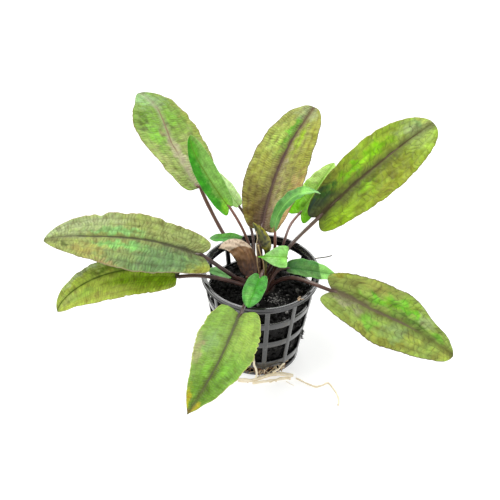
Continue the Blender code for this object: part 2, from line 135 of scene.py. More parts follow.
# Shape of each leaf, as in the solids: where the blade starts, heading and pitch there, how they change,
# length and half-widths, then the shape of each side as (left, right) and how the stalk leaves the crown.
LEAVES = {
    "leaf_back_left": dict(
        base=(-29.1, 32.5, 71.3), heading=121, turn=-3, pitch=24, tip_pitch=-5, length=70,
        width=(13.5, 13.8), lobe=(0.8, 3), roll=0, widest=(0.5, 0.48), base_width=(0.4, 0.42),
        bulge=((1, 0.9, 0.11, -2.4), (1, 0.52, 0.16, 1.2)),
        tip=(0.9, 0.42), fold=(6, 6), root=at_crown(142), up=(-0.7, 0.85, 0.6),
        lead=(-0.35, 0.3, 0.85), up_share=0.35),
    "leaf_back": dict(
        base=(0, 12.8, 63), heading=80, turn=-26, pitch=34, tip_pitch=20, length=68,
        width=(13.5, 14), lobe=(1, 2), roll=0, widest=(0.45, 0.5), base_width=(0.32, 0.4),
        bulge=((-1, 0.36, 0.16, 1.8), (1, 0.3, 0.2, 0.6)),
        tip=(0.5, 0.5), fold=(14, 14), root=at_crown(84, 6.4)),
    "leaf_back_right": dict(
        base=(27.3, 36, 52.5), heading=45, turn=-10, pitch=22, tip_pitch=14, length=77,
        width=(13, 14), lobe=(3, 4.5), roll=24, widest=(0.55, 0.55), base_width=(0.3, 0.38),
        bulge=((1, 0.6, 0.25, 0.8), (-1, 0.45, 0.34, 2.4)),
        tip=(0.5, 0.42), fold=(5, 5), root=at_crown(20), up=(0.3, 0.3, 1)),
    "leaf_left": dict(
        base=(-27.4, -3.7, 60), heading=172, turn=10, pitch=12, tip_pitch=-9, length=72.5,
        width=(13, 13), lobe=(6, 3.5), roll=-30, widest=(0.38, 0.42), base_width=(0.5, 0.36),
        bulge=((1, 0.4, 0.2, 2.2), (-1, 0.17, 0.12, -1.1)),
        tip=(0.8, 0.6), fold=(4, 4), root=at_crown(213), up=(-1, -0.3, 0.9), lead=(-0.8, 0.1, 0.6)),
    "leaf_left_lower": dict(
        base=(-38.2, -7.2, 49), heading=178, turn=12, pitch=2, tip_pitch=-42, length=60.5,
        width=(9.6, 12), lobe=(0, 2), roll=-36, tip=(0.8, 0.6), fold=(18, 18),
        bulge=((1, 0.85, 0.2, -2.3), (1, 0.5, 0.25, -1)),
        root=at_crown(240), up=(-0.8, -0.5, 0.7), lead=(-1, 0.1, -0.3)),
    "leaf_front": dict(
        base=(-8.5, -34, 50.8), heading=258, turn=-12, pitch=4, tip_pitch=-4, length=66.5,
        width=(13.2, 12.5), lobe=(2.6, 4.2), roll=0, widest=(0.34, 0.33), tip=(0.9, 0.95),
        base_width=(0.42, 0.68),
        bulge=((1, 0.1, 0.1, -0.6), (1, 0.45, 0.12, 1), (-1, 0.12, 0.1, 1.3), (-1, 0.3, 0.14, 1.7),
               (-1, 0.7, 0.15, -0.8)),
        fold=(4, 4), root=at_crown(266), up=(-0.2, -1, 0.7)),
    "leaf_front_right": dict(
        base=(32.9, -16, 50.6), heading=349, turn=-12, pitch=-12, tip_pitch=-31, length=62.5,
        width=(12.2, 12.5), lobe=(4, 4.5), roll=36, widest=(0.42, 0.52), base_width=(0.45, 0.4),
        bulge=((1, 0.76, 0.12, -2.2), (1, 0.55, 0.1, 0.5), (-1, 0.42, 0.2, 3.2), (-1, 0.14, 0.12, 0.8),
               (-1, 0.9, 0.08, -1.3)),
        tip=(0.75, 0.5), fold=(5, 5), root=at_crown(332), up=(0.8, -0.1, 1)),
}
YOUNG_LEAVES = {
    "young_leaf_tall": dict(
        base=(-15.4, 22.2, 68), heading=146, pitch=46, tip_pitch=62, length=38,
        width=(6.8, 4.4), lobe=(3, 1), roll=-34, base_width=(0.5, 0.3), fold=(12, 12),
        root=at_crown(106, 4.4), up=(-0.3, 0.5, 1)),
    "young_leaf_back": dict(
        base=(-10.7, 32.9, 60), heading=142, pitch=38, tip_pitch=30, length=22,
        width=(4.2, 4), lobe=(0, 0), roll=-10, base_width=(0.3, 0.3), fold=(10, 10),
        root=at_crown(120, 6.6), up=(0, 0.9, 1)),
    "young_leaf_right": dict(
        base=(18.6, 41, 51.3), heading=59, pitch=20, tip_pitch=16, length=33,
        width=(6.9, 7.8), lobe=(3, 5.5), roll=0, widest=(0.25, 0.25), tip=(0.7, 0.7),
        base_width=(0.66, 0.66), fold=(8, 8), root=at_crown(48, 6.3), up=(0.6, 0.5, 1),
        lead=(0.5, 0.7, 0.1), up_share=0.5),
    "young_leaf_curved": dict(
        base=(5.5, 7.5, 67.6), heading=34, turn=-12, pitch=82, tip_pitch=-44, late=1.3, length=33,
        width=(3.3, 4), lobe=(1, 1), roll=2, base_width=(0.5, 0.5), tip=(0.7, 0.7), fold=(15, 15),
        root=at_crown(62, 3.4), up=(0.5, -0.1, 1), lead=(-0.15, 0.1, 1)),
    "young_leaf_flat": dict(
        base=(-9.5, 15.9, 53.9), heading=172, pitch=0, tip_pitch=-14, length=15,
        width=(3.8, 3.2), lobe=(0.6, 0.6), roll=0, fold=(6, 6), root=at_crown(162, 3.8),
        up=(0, 0.5, 1), lead=(-0.3, 0.5, 0.8)),
    "young_leaf_centre": dict(
        base=(11.9, -0.9, 56.9), heading=180, pitch=6, tip_pitch=-6, length=13.2,
        width=(5.2, 5.4), lobe=(0.4, 0.4), roll=-40, widest=(0.14, 0.1), tip=(1.6, 2.3),
        base_width=(0.8, 0.8), fold=(8, 8), root=at_crown(352, 5.0), up=(0.3, 0.9, 1),
        lead=(0.6, -0.3, 0.7)),
    "young_leaf_rim_right": dict(
        base=(12.8, -1.3, 51.2), heading=352, pitch=2, tip_pitch=-8, length=23,
        width=(5.4, 4.2), lobe=(1, 0.6), roll=16, widest=(0.25, 0.6), tip=(1.0, 0.5),
        fold=(8, 8), root=at_crown(306), up=(0.3, 0, 1)),
    "young_leaf_front": dict(
        base=(-0.2, -13.6, 55.6), heading=254, pitch=-6, tip_pitch=-16, length=18.4,
        width=(4.9, 5.2), lobe=(1.2, 1.6), roll=0, fold=(8, 8), root=at_crown(286, 3.0)),
    "young_leaf_rim_left": dict(
        base=(-13.8, 1, 43.6), heading=172, pitch=14, tip_pitch=8, length=11,
        width=(2.6, 2.6), lobe=(0.5, 0.5), roll=-10, fold=(8, 8), root=at_crown(193),
        up=(-0.6, -0.3, 1)),
}
DRY_LEAF = dict(
    base=(-6.0, 0.6, 43.9), heading=82, turn=112, pitch=66, tip_pitch=-46, late=1.6, length=25,
    width=(4.9, 4.8), lobe=(0, 0), roll=-30, widest=(0.35, 0.35), tip=(0.85, 0.85),
    base_width=(0.8, 0.8), fold=(-8, -8), root=at_crown(166, 5.8))

# Points along the rolled leaf with its radius at each
ROLLED_LEAF = (
    ((1.2, 1.4, 38.6), 0.8), ((2.0, 2.1, 47.0), 0.8), ((2.6, 3.3, 54.0), 0.9), ((2.8, 4.1, 56.9), 1.6),
    ((2.6, 4.6, 58.4), 2.4), ((2.1, 5.2, 60.4), 2.7), ((1.4, 5.9, 62.0), 2.75), ((-0.2, 6.6, 64.9), 2.5),
    ((-1.9, 7.0, 67.4), 1.7), ((-4.1, 7.4, 70.0), 0.4))

# Thick roots in front of the pot: radius, then the points that the middle passes
ROOTS = {
    "root_main": (0.7, ((-9.0, -23.6, 0.7), (-5.2, -24.1, 0.7), (-1.5, -23.3, 0.9), (2.7, -21.8, 1.4),
                        (5.9, -20.9, 2.0), (10.7, -20.2, 2.3), (14.4, -20.7, 2.2), (16.8, -20.6, 1.8))),
    "root_second": (0.5, ((-2.0, -25.4, 0.5), (3.2, -24.0, 0.5), (7.9, -22.9, 0.5), (13.4, -21.4, 0.5),
                          (15.8, -21.6, 0.5))),
    "root_loop": (0.45, ((-1.9, -19.2, 10.8), (-1.8, -21.1, 10.3), (-1.7, -21.9, 9.0), (-0.8, -22.1, 6.7),
                         (-0.3, -22.5, 4.1), (-0.9, -24.2, 2.7))),
    "root_branch": (0.45, ((12.3, -15.4, 4.4), (11.3, -17.1, 5.0), (9.7, -18.9, 4.1), (7.0, -20.5, 3.5))),
    "root_trailing": (0.4, ((18.2, -21.2, 0.4), (21.9, -23.4, 0.4), (24.7, -25.3, 0.4), (27.5, -26.5, 0.4),
                            (30.8, -25.0, 0.4), (33.2, -23.6, 0.4), (35.4, -26.9, 0.4), (37.2, -30.8, 0.4),
                            (38.0, -34.7, 0.4), (37.5, -38.1, 0.4))),
}

# Strands: radius, colour and the points that each passes
LITTER = (
    (0.24, "c8b48c", ((-0.1, 0.6, 41), (-1.1, 1.8, 50), (-2.2, 2.8, 60), (-1.9, 3, 64.7), (-2.5, 3.2, 68.2))),
    (0.28, "b9a06e", ((1.8, -0.1, 41), (1.7, 0.2, 46.6), (1.1, 0.5, 52.6), (-0.4, 0.5, 57.9),
                      (-1.5, 0.7, 62.5))),
    (0.22, "a98a5c", ((-0.1, -1.5, 41), (-0.6, -1.3, 47), (-1.6, -0.9, 53), (-2.0, -0.5, 57))),
    (0.7, "4a3324", ((-0.2, 0.4, 40), (-0.6, 1.6, 47), (-1.0, 2.6, 55), (-1.4, 3.4, 61))),
    (0.27, "120c0e", ((25.4, 10.0, 48.1), (27.6, 10.1, 48.4), (30.9, 11.0, 48.4), (33.2, 11.8, 48.6))),
)
# Bits of peat: middle, spread, how many, size and colour
PEAT = (
    ((18.4, -19.4, 48.2), (0.9, 0.9, 0.05), 7, 0.5, "c2a888"),
    ((20.5, -8.0, 17.4), (0.15, 0.15, 1.3), 20, 0.62, "3c3a38"),
    ((7.6, -11.2, 40.2), (2.4, 1.6, 0.4), 52, 0.3, "7c7a76"),
)

# Colours of a leaf. `rib` is where the midrib runs, as (share, side), `rib_tone` and `rib_width` its colour
# and width in mm at the foot and the tip, `rib_seen` the shares between which it shows and `halo` the band
# beside it as (reach in mm, strength, tone). `net` is the strength of the veins, `swell` and `crease` the
# depth in mm of the cushions and of the fold along the midrib, `pace` the distance in mm between cross veins
# and `lean` how far they lean to the tip on each side. The ground tone is followed by soft patches as
# (share, side, reach along, reach across, tone, strength). `cells` is how far they break up from vein to
# vein, `blot` the size in mm of the mottling, and beyond `shade_end` the blade lies in full light. Side is +1
# at the left edge. `nicks` are small gaps in the margin as (share, side, width as a share, depth in mm).
LOOKS = {
    # The pale patch at the tip, at share 0.96, is a painted sheen.
    "leaf_back_left": dict(
        ground="moss_mid", seed=11, rib=((0, 0.2), (0.4, 0.1), (0.75, -0.25), (1, -0.3)),
        rib_tone="rib_rose", rib_width=(1.5, 0.4), rib_seen=(0.36, 0.8), net=0.55, swell=0.16,
        stalk_tone="stalk_rose", pace=1.35, lean=(0.3, -0.1), halo=(5.0, 0.4, "rose_grey"),
        margin="tan_brown",
        patches=(
            (0.22, 0.1, 0.26, 0.2, "rose_pale", 0.9), (0.5, 0.5, 0.13, 0.28, "leaf_green", 0.8),
            (0.6, 0.72, 0.05, 0.2, "dark_olive", 0.95), (0.72, 0.45, 0.04, 0.28, "dark_olive", 0.9),
            (0.55, -0.2, 0.05, 0.14, "dark_olive", 0.95), (0.48, 0.16, 0.1, 0.07, "rib_rose", 0.5),
            (0.63, -0.45, 0.09, 0.2, "leaf_green", 0.6), (0.68, 0.2, 0.1, 0.3, "grass_mid", 0.5),
            (0.96, 0.3, 0.12, 0.9, "mint_painted_sheen", 0.75), (0.25, 0.85, 0.3, 0.25, "pale_olive", 0.6),
            (0.55, -0.95, 0.4, 0.12, "tan_olive", 0.4), (0.85, -0.4, 0.1, 0.4, "sage_cool", 0.5),
            (0.3, -0.5, 0.16, 0.4, "pale_olive", 0.6), (0.2, 0.6, 0.16, 0.4, "pale_olive", 0.5))),
    "leaf_back": dict(
        ground="khaki_leaf", seed=12, rib=((0, 0.02), (1, 0.0)), rib_tone="rib_plum",
        rib_width=(2.9, 0.5), rib_seen=(-1, 0.93), net=0.75, swell=0.14, halo=(8.0, 0.8, "mauve"),
        pace=1.2, lean=(0.05, 0.6), margin="dark_mauve",
        patches=(
            (0.1, 0.6, 0.2, 0.5, "bronze", 0.95), (0.04, 0.0, 0.14, 0.8, "bronze_dark", 0.95),
            (0.25, 0.75, 0.14, 0.4, "khaki_dark", 0.7), (0.45, 0.6, 0.12, 0.3, "olive_gold", 0.5),
            (0.66, 0.5, 0.14, 0.3, "leaf_pale", 0.7), (0.78, 0.17, 0.2, 0.15, "bright_green", 1.0),
            (0.7, -0.28, 0.13, 0.13, "lime_deep", 0.8), (0.48, -0.45, 0.12, 0.28, "khaki_dark", 0.55),
            (0.12, -0.9, 0.12, 0.3, "apricot", 0.9), (0.36, -0.85, 0.1, 0.25, "apricot", 0.7),
            (0.2, -0.25, 0.22, 0.14, "rose_tan", 0.6), (0.3, -0.55, 0.12, 0.25, "khaki_dark", 0.5),
            (0.52, -0.08, 0.16, 0.05, "rose_pale", 0.8), (0.75, -0.1, 0.14, 0.05, "rose_pale", 0.5),
            (0.97, 0.0, 0.1, 1.0, "pale_sage", 0.7), (0.55, -0.75, 0.1, 0.3, "olive_gold", 0.7),
            (0.85, -0.85, 0.25, 0.25, "olive_gold", 0.7))),
    "leaf_back_right": dict(
        ground="lime_olive", seed=13, rib=((0, 0.0), (0.5, -0.02), (1, 0.05)), rib_tone="rib_dark",
        rib_width=(2.7, 0.4), rib_seen=(-1, 0.92), blot=(9, 7), cells=0.55, net=0.6, swell=0.15,
        halo=(9.0, 0.8, "halo_brown"), stalk_tone="stalk_tan", pace=3.3, lean=(0.7, 0.5),
        margin="mustard",
        patches=(
            (0.02, 0.62, 0.19, 0.6, "blue_shade", 1.0), (0.17, 0.62, 0.06, 0.4, "forest", 0.8),
            (0.38, 0.4, 0.13, 0.18, "lime", 1.0), (0.57, 0.45, 0.11, 0.2, "lime", 0.95),
            (0.08, -0.6, 0.12, 0.45, "lime_yellow", 0.9), (0.38, -0.3, 0.08, 0.15, "lime", 0.6),
            (0.58, -0.4, 0.16, 0.4, "olive_brown", 0.75), (0.9, 0.2, 0.14, 0.7, "pale_sage", 0.6),
            (0.5, -0.15, 0.25, 0.12, "halo_olive", 0.7), (0.28, 0.85, 0.12, 0.2, "mustard", 0.5),
            (0.5, -0.85, 0.25, 0.18, "mustard", 0.55), (0.92, 0.55, 0.05, 0.25, "teal_green", 0.4),
            (0.98, 0.6, 0.05, 0.5, "pale_yellow", 0.7), (0.9, -0.5, 0.1, 0.4, "leaf_pale", 0.7))),
    "leaf_left": dict(
        ground="sage_light", seed=14, rib=((0, 0.05), (0.3, -0.1), (0.7, -0.1), (1, -0.25)),
        rib_tone="rib_slate", rib_width=(2.2, 0.3), rib_seen=(-1, 0.94), blot=(6, 5), cells=0.25,
        net=0.65, swell=0.14, stalk_tone="stalk_dark", pace=1.5, lean=(0.15, 0.0),
        halo=(4.0, 0.5, "slate_brown"), margin="rose_tan",
        patches=(
            (0.22, 0.5, 0.25, 0.6, "slate_green", 1.0), (0.3, 0.85, 0.2, 0.3, "slate_green", 0.9),
            (0.03, 0.85, 0.07, 0.3, "olive_gold", 0.8), (0.52, 0.18, 0.16, 0.14, "fresh_mint", 0.7),
            (0.55, -0.33, 0.2, 0.14, "mint_soft", 0.8), (0.55, 0.7, 0.1, 0.3, "slate_green", 0.5),
            (0.74, 0.6, 0.1, 0.3, "tan_olive", 0.8), (0.12, -0.6, 0.2, 0.35, "grey_olive", 0.7),
            (0.7, -0.7, 0.2, 0.3, "pale_sage", 0.7), (0.88, 0.3, 0.025, 0.25, "bruise", 0.85),
            (0.42, -0.58, 0.02, 0.05, "bruise", 0.8), (0.1, 0.0, 0.12, 0.2, "slate_dark", 0.7),
            (0.6, 0.95, 0.06, 0.14, "apricot", 0.6), (0.82, -0.25, 0.1, 0.2, "pale_sage", 0.6),
            (0.93, 0.0, 0.06, 0.4, "grey_olive", 0.5), (0.93, -0.8, 0.12, 0.4, "pale_sage", 0.8)),
        nicks=(
            (0.64, -1, 0.022, 1.5), (0.265, -1, 0.02, 0.9), (0.15, -1, 0.01, 0.4), (0.5, -1, 0.015, 0.4),
            (0.2, -1, 0.01, 0.5))),
    # The grass_shade halo and the grass_shade patch at side -0.64 are painted shadow cast by leaf_left.
    "leaf_left_lower": dict(
        ground="moss_lit", seed=15, rib=((0, -0.3), (0.4, -0.42), (1, -0.5)), rib_tone="rib_moss",
        rib_width=(1.4, 0.4), blot=(6, 5), cells=0.3, net=0.5, swell=0.13, crease=1.1, pace=1.3,
        lean=(0.4, 0.3), halo=(3.0, 0.3, "grass_shade"), margin="mustard",
        patches=(
            (0.12, 0.25, 0.25, 0.5, "grass_lit", 0.9), (0.38, -0.05, 0.16, 0.25, "grass_lit", 0.8),
            (0.6, 0.6, 0.25, 0.3, "yellow_olive", 0.8), (0.3, 0.75, 0.16, 0.25, "yellow_lime", 0.7),
            (0.36, -0.64, 0.32, 0.16, "grass_shade", 0.8), (0.6, -0.95, 0.3, 0.16, "pale_sage", 0.9),
            (0.78, 0.0, 0.14, 0.25, "meadow", 0.6), (0.9, -0.3, 0.1, 0.4, "pale_olive", 0.6),
            (0.97, 0.6, 0.08, 0.6, "yellow_olive", 0.8)),
        nicks=(
            (0.22, 1, 0.012, 0.6), (0.4, 1, 0.013, 0.8), (0.55, 1, 0.01, 0.5), (0.83, 1, 0.02, 0.8))),
    "leaf_front": dict(
        ground="leaf_mid", seed=16, rib=((0, -0.06), (0.5, 0.0), (1, 0.0)), rib_tone="rib_slate",
        rib_width=(1.9, 0.5), rib_seen=(-1, 0.82), blot=(9, 7), cells=0.25, net=0.28, swell=0.07,
        stalk_tone="stalk_dark", pace=1.4, lean=(0.45, 0.5), halo=(5.0, 0.6, "halo_brown"),
        margin="pale_yellow",
        patches=(
            (0.06, -0.4, 0.14, 0.5, "leaf_mid", 0.9), (0.2, 0.6, 0.24, 0.5, "yellow_soft", 0.95),
            (0.35, -0.55, 0.12, 0.3, "sage_mid", 0.4), (0.45, -0.9, 0.14, 0.2, "rose_tan", 0.55),
            (0.6, -0.3, 0.1, 0.2, "leaf_green", 0.6), (0.62, 0.4, 0.18, 0.6, "grass_mid", 0.95),
            (0.82, 0.0, 0.2, 1.0, "grass_low", 1.0), (0.87, -0.85, 0.07, 0.3, "gold", 0.95),
            (0.95, 0.5, 0.05, 0.5, "gold", 0.8), (0.86, 0.0, 0.2, 0.16, "grass_shade", 1.0),
            (1.0, -0.2, 0.04, 1.0, "rust", 1.0), (0.72, 0.0, 0.25, 0.16, "grass_shade", 0.6)),
        nicks=(
            (0.16, 1, 0.01, 0.35), (0.22, 1, 0.01, 0.5), (0.28, 1, 0.01, 0.5), (0.33, 1, 0.009, 0.4),
            (0.39, 1, 0.01, 0.5), (0.45, 1, 0.009, 0.35), (0.2, -1, 0.01, 0.3), (0.27, -1, 0.009, 0.25))),
    "leaf_front_right": dict(
        ground="sage_yellow", seed=17, rib=((0, 0.05), (0.3, -0.1), (0.7, -0.02), (1, 0.1)),
        rib_tone="rib_warm", rib_width=(2.8, 0.4), rib_seen=(-1, 0.7), blot=(8, 6), cells=0.6, net=0.62,
        swell=0.16, halo=(7.0, 0.65, "halo_brown"), pace=2.7, lean=(0.6, 0.5), margin="red_brown",
        patches=(
            (0.1, 0.6, 0.12, 0.4, "khaki_dark", 0.45), (0.05, 0.9, 0.05, 0.2, "mustard", 0.8),
            (0.3, 0.8, 0.14, 0.25, "tan_olive", 0.5), (0.32, 0.24, 0.09, 0.13, "bright_green", 1.0),
            (0.42, 0.38, 0.07, 0.13, "lime", 0.8), (0.54, 0.5, 0.12, 0.16, "bright_green", 0.9),
            (0.6, 0.75, 0.08, 0.2, "leaf_lime", 0.6), (0.56, 0.15, 0.1, 0.14, "grass_dark", 0.7),
            (0.85, 0.35, 0.06, 0.2, "bright_green", 0.75), (0.33, -0.5, 0.07, 0.25, "bright_green", 0.9),
            (0.16, -0.25, 0.15, 0.22, "rose_grey", 0.8), (0.35, -0.3, 0.2, 0.5, "sage_yellow", 0.4),
            (0.55, -0.35, 0.1, 0.3, "sage_cool", 0.4), (0.7, -0.5, 0.07, 0.3, "yellow_olive", 0.6),
            (0.95, -0.4, 0.08, 0.8, "yellow_olive", 0.8), (0.45, -0.9, 0.3, 0.16, "mustard", 0.6),
            (0.7, 0.2, 0.08, 0.2, "grass_dark", 0.6), (0.2, 0.25, 0.06, 0.14, "halo_olive", 0.7),
            (0.7, 0.6, 0.06, 0.25, "pale_sage", 0.5))),
    "young_leaf_tall": dict(
        ground="leaf_glow", seed=21, rib=((0, 0.08), (0.5, 0.2), (1, 0.45)), rib_tone="deep_olive",
        rib_width=(0.6, 0.2), net=0.3, swell=0.12, stalk_tone="stalk_blush", halo=(1.6, 0.4, "grass_mid"),
        pace=1.6,
        patches=(
            (0.5, 0.8, 1.2, 0.54, "deep_glow", 0.95), (0.85, 0.3, 0.16, 0.5, "emerald", 0.8),
            (0.03, 0.3, 0.08, 0.6, "mint_lime", 0.7), (0.2, 0.2, 0.1, 0.3, "deep_olive", 0.35))),
    "young_leaf_back": dict(
        ground="mint_pale", seed=22, rib_tone="emerald_lime", rib_width=(0.4, 0.1), net=0.12, swell=0.08,
        patches=((0.3, 0.7, 0.4, 0.3, "emerald_lime", 0.6),)),
    "young_leaf_right": dict(
        ground="mint_light", seed=23, rib_tone="mint_lime", rib_width=(0.5, 0.1), net=0.2, swell=0.1,
        stalk_tone="stalk_pink",
        patches=(
            (0.05, 0.7, 0.42, 0.8, "acid_green", 1.0), (0.05, -0.7, 0.4, 0.7, "acid_green", 1.0),
            (0.05, 0.0, 0.16, 0.2, "grass_mid", 0.9))),
    # Painted light: sheen at the foot and tip, shade in the band at 0.3, highlight in the band at 0.78.
    "young_leaf_curved": dict(
        ground="emerald_cool", seed=24, rib_tone="mint_bright", rib_width=(0.4, 0.1), net=0.1, swell=0.08,
        stalk_tone="stalk_pink",
        patches=(
            (0.0, 0.0, 0.12, 1.0, "teal_pale", 0.8), (0.3, 0.0, 0.12, 0.8, "teal_deep", 0.7),
            (0.78, 0.0, 0.13, 1.0, "mint_bright", 0.9), (1.0, 0.0, 0.08, 1.0, "painted_sheen", 0.9))),
    "young_leaf_flat": dict(
        ground="grass_warm", seed=25, rib_tone="teal_deep", rib_width=(0.4, 0.1), net=0.2, swell=0.1,
        patches=((0.4, 0.7, 0.4, 0.4, "teal_green", 0.8), (1.0, 0.0, 0.2, 1.0, "teal_pale", 0.8))),
    "young_leaf_centre": dict(
        ground="mint_soft_green", seed=26, rib_tone="leaf_bright", rib_width=(0.3, 0.1), net=0.1,
        swell=0.08,
        patches=(
            (0.05, 0.0, 0.25, 1.0, "mint_bright", 0.8), (0.95, 0.0, 0.25, 1.0, "grass", 0.8),
            (0.25, 0.6, 0.2, 0.4, "emerald", 0.4))),
    "young_leaf_rim_right": dict(
        ground="teal_mid", seed=27, rib_tone="teal_deep", rib_width=(0.5, 0.1), net=0.25, swell=0.1,
        shade_end=0.62,
        patches=((0.05, 0.2, 0.2, 0.8, "teal_deep", 0.85), (0.45, 0.8, 0.3, 0.2, "teal_green", 0.5))),
    "young_leaf_front": dict(
        ground="grass_cool", seed=28, rib_tone="emerald_deep", rib_width=(0.5, 0.1), net=0.7, swell=0.1,
        patches=(
            (0.5, 0.6, 0.3, 0.3, "deep_glow", 0.6), (0.15, -0.6, 0.2, 0.4, "emerald_cool", 0.7),
            (0.7, -0.3, 0.3, 0.4, "mint_bright", 0.35), (0.4, 0.05, 0.4, 0.1, "teal_deep", 0.6),
            (0.75, 0.3, 0.16, 0.3, "fresh_mint", 0.35))),
    "young_leaf_rim_left": dict(
        ground="sage_lit", seed=29, rib_tone="teal_deep", rib_width=(0.3, 0.1), net=0.1, swell=0.06,
        patches=((0.6, 0.4, 0.3, 0.5, "fresh_mint", 0.4),)),
}
TONES = {
    "meadow": "90b355", "bright_green": "6dbb35", "deep_olive": "66802c", "leaf_lime": "9cc43c",
    "mint_painted_sheen": "98c285", "mint_soft": "86c272", "rose_tan": "a9957a", "rose_pale": "b4b08c",
    "rose_grey": "9c9480", "tan_olive": "a39a52", "tan_brown": "8a7a50", "pale_olive": "a5ae6c",
    "grey_olive": "8c9a5f", "khaki_dark": "7a7440", "bronze": "6d5a2c", "bronze_dark": "4b3a22",
    "olive_gold": "97993c", "leaf_pale": "a2bd58", "leaf_bright": "78c22f", "lime_deep": "92b82a",
    "apricot": "b99668", "rust": "9c7434", "lime_olive": "8ba437", "lime_yellow": "9cc428",
    "yellow_lime": "94a832", "yellow_olive": "a9b252", "blue_shade": "3c4f44", "forest": "2f6230",
    "lime": "80c01c", "acid_green": "80d608", "olive_brown": "7b7c35", "mustard": "94903a",
    "pale_yellow": "b8c06c", "sage_light": "949f5c", "sage_cool": "8aa57a", "sage_yellow": "8fa552",
    "pale_sage": "aab98a", "slate_green": "6a8858", "slate_dark": "5a624c", "slate_brown": "696a4a",
    "fresh_mint": "7ac668", "bruise": "46501f", "grass_shade": "4c6a1c", "grass_mid": "6f9e38",
    "grass_dark": "4f8430", "grass": "58ac1e", "gold": "b0a416", "emerald": "56a926",
    "emerald_lime": "7cb844", "emerald_deep": "3f9616", "emerald_cool": "588e48", "painted_sheen": "a4d596",
    "mint_bright": "98da70", "mint_lime": "8ad42a", "teal_green": "529650", "teal_mid": "568442",
    "teal_deep": "3a6c36", "teal_pale": "7aaa70", "rib_rose": "7e6650", "rib_slate": "50503c",
    "rib_moss": "4f6022", "rib_warm": "6e6450", "mint_pale": "cdeca6", "mint_light": "ccf088",
    "mint_soft_green": "96ca7a", "sage_lit": "86ba78", "grass_cool": "4b8c40", "rib_plum": "584642",
    "khaki_leaf": "959a50", "dark_olive": "50681c", "moss_mid": "728f3e", "leaf_green": "78b03a",
    "moss_lit": "acbe50", "grass_lit": "98c028", "leaf_mid": "7a9c44", "yellow_soft": "8eac4a",
    "grass_low": "587e24", "sage_mid": "7d9a6c", "leaf_glow": "86b85a", "deep_glow": "389610",
    "grass_warm": "58963c", "mauve": "6c5a46", "halo_brown": "5e6038", "rib_dark": "4e4230",
    "halo_olive": "5f6c2c", "dark_mauve": "6c5a48", "red_brown": "6b5440", "stalk_brown": "4b372d",
    "stalk_rose": "6b4c42", "stalk_blush": "80594c", "stalk_pink": "8a5a4e", "stalk_tan": "6e5a4a",
    "stalk_dark": "32251f",
}


# Settings that a user would change

def length_setting(name, about, default):
    return bpy.props.FloatProperty(name=name, description=about, default=default, unit="LENGTH")


def count_setting(name, about, default, low=0):
    return bpy.props.IntProperty(name=name, description=about, default=default, min=low)


def colour_setting(name, about, code):
    return bpy.props.FloatVectorProperty(
        name=name, description=about, subtype="COLOR", default=tone(code))


class PotSettings(bpy.types.PropertyGroup):
    rim_radius: length_setting("Rim radius", "Outer radius of the rim", POT_HIGH.x)
    height: length_setting("Height", "Height of the pot", POT_HIGH.z)
    ribs: count_setting("Ribs", "Number of upright ribs in the wall", 12, 4)
    rib_width: length_setting("Rib width", "Width of each upright rib", 0.0024)
    plastic: colour_setting("Plastic", "Colour of the pot", "0d0e10")
    # The scuff colour is partly wear and partly a painted grey sheen on the black plastic.
    scuffs_and_sheen: colour_setting("Scuffs", "Colour of worn and dusty plastic", "4a4b4a")


class FillSettings(bpy.types.PropertyGroup):
    black: colour_setting("Fill", "Colour of the damp fill", "0b0a0a")
    speck: colour_setting("Specks", "Colour of pale specks in the fill", "5d5a54")
    crumbs: count_setting("Crumbs", "Number of loose crumbs on the fill", 1700)
    crumb_size: length_setting("Crumb size", "Radius of a typical crumb", 0.00055)


class LeafSettings(bpy.types.PropertyGroup):
    thickness: length_setting("Thickness", "Thickness of a blade at its middle", 0.0005)
    stalk_radius: length_setting("Stalk radius", "Radius of a large leaf's stalk", 0.00095)
    young_stalk_radius: length_setting("Young stalk radius", "Radius of a young leaf's stalk", 0.0007)
    vein: colour_setting("Veins", "Colour of the side veins and cross veins", "3f3a1c")
    young_margin: colour_setting("Young margin", "Colour of the pale line round a young blade", "9fd890")
    stalk: colour_setting("Stalk", "Colour of the stalks near the crown", "291512")
    dry: colour_setting("Dry leaf", "Colour of the withered leaf", "926a3c")
    rolled: colour_setting("Rolled leaf", "Colour of the leaf that is still rolled", "5f6420")


class RootSettings(bpy.types.PropertyGroup):
    cream: colour_setting("Root", "Colour of the fresh roots", "fcefd4")
    brown: colour_setting("Old root", "Colour of old roots and fibres", "a58658")


class StageSettings(bpy.types.PropertyGroup):
    floor: bpy.props.FloatVectorProperty(
        name="Floor", description="Colour of the floor", subtype="COLOR", default=(0.48, 0.48, 0.48))
    floor_glow: bpy.props.FloatProperty(
        name="Floor glow", description="Light that shines through the floor", default=0.62, min=0.0)
    sky: bpy.props.FloatProperty(
        name="Sky", description="Strength of the light from all round", default=0.40, min=0.0)
    lens: bpy.props.FloatProperty(
        name="Lens", description="Focal length of the camera in millimetres", default=115.2)


# Numbers and curves

def soft_noise(points, size, seed, octaves=3):
    """Smooth noise of about -1 to 1: sine waves in random directions, finer and weaker per octave."""
    rng = np.random.default_rng(seed)
    total = np.zeros(points.shape[:-1])
    for octave in range(octaves):
        ways = rng.normal(size=(7, points.shape[-1]))
        ways /= np.linalg.norm(ways, axis=1, keepdims=True)
        phases = rng.uniform(0, TAU, 7)
        total += np.sin(points @ ways.T * (TAU * 2 ** octave / size) + phases).sum(-1) / 2 ** octave
    return total / 4.0


def ripple(seed, octaves, *places):
    """Smooth noise over places that are already divided by the length of a wave."""
    return soft_noise(np.stack(places, -1), 1.0, seed, octaves)


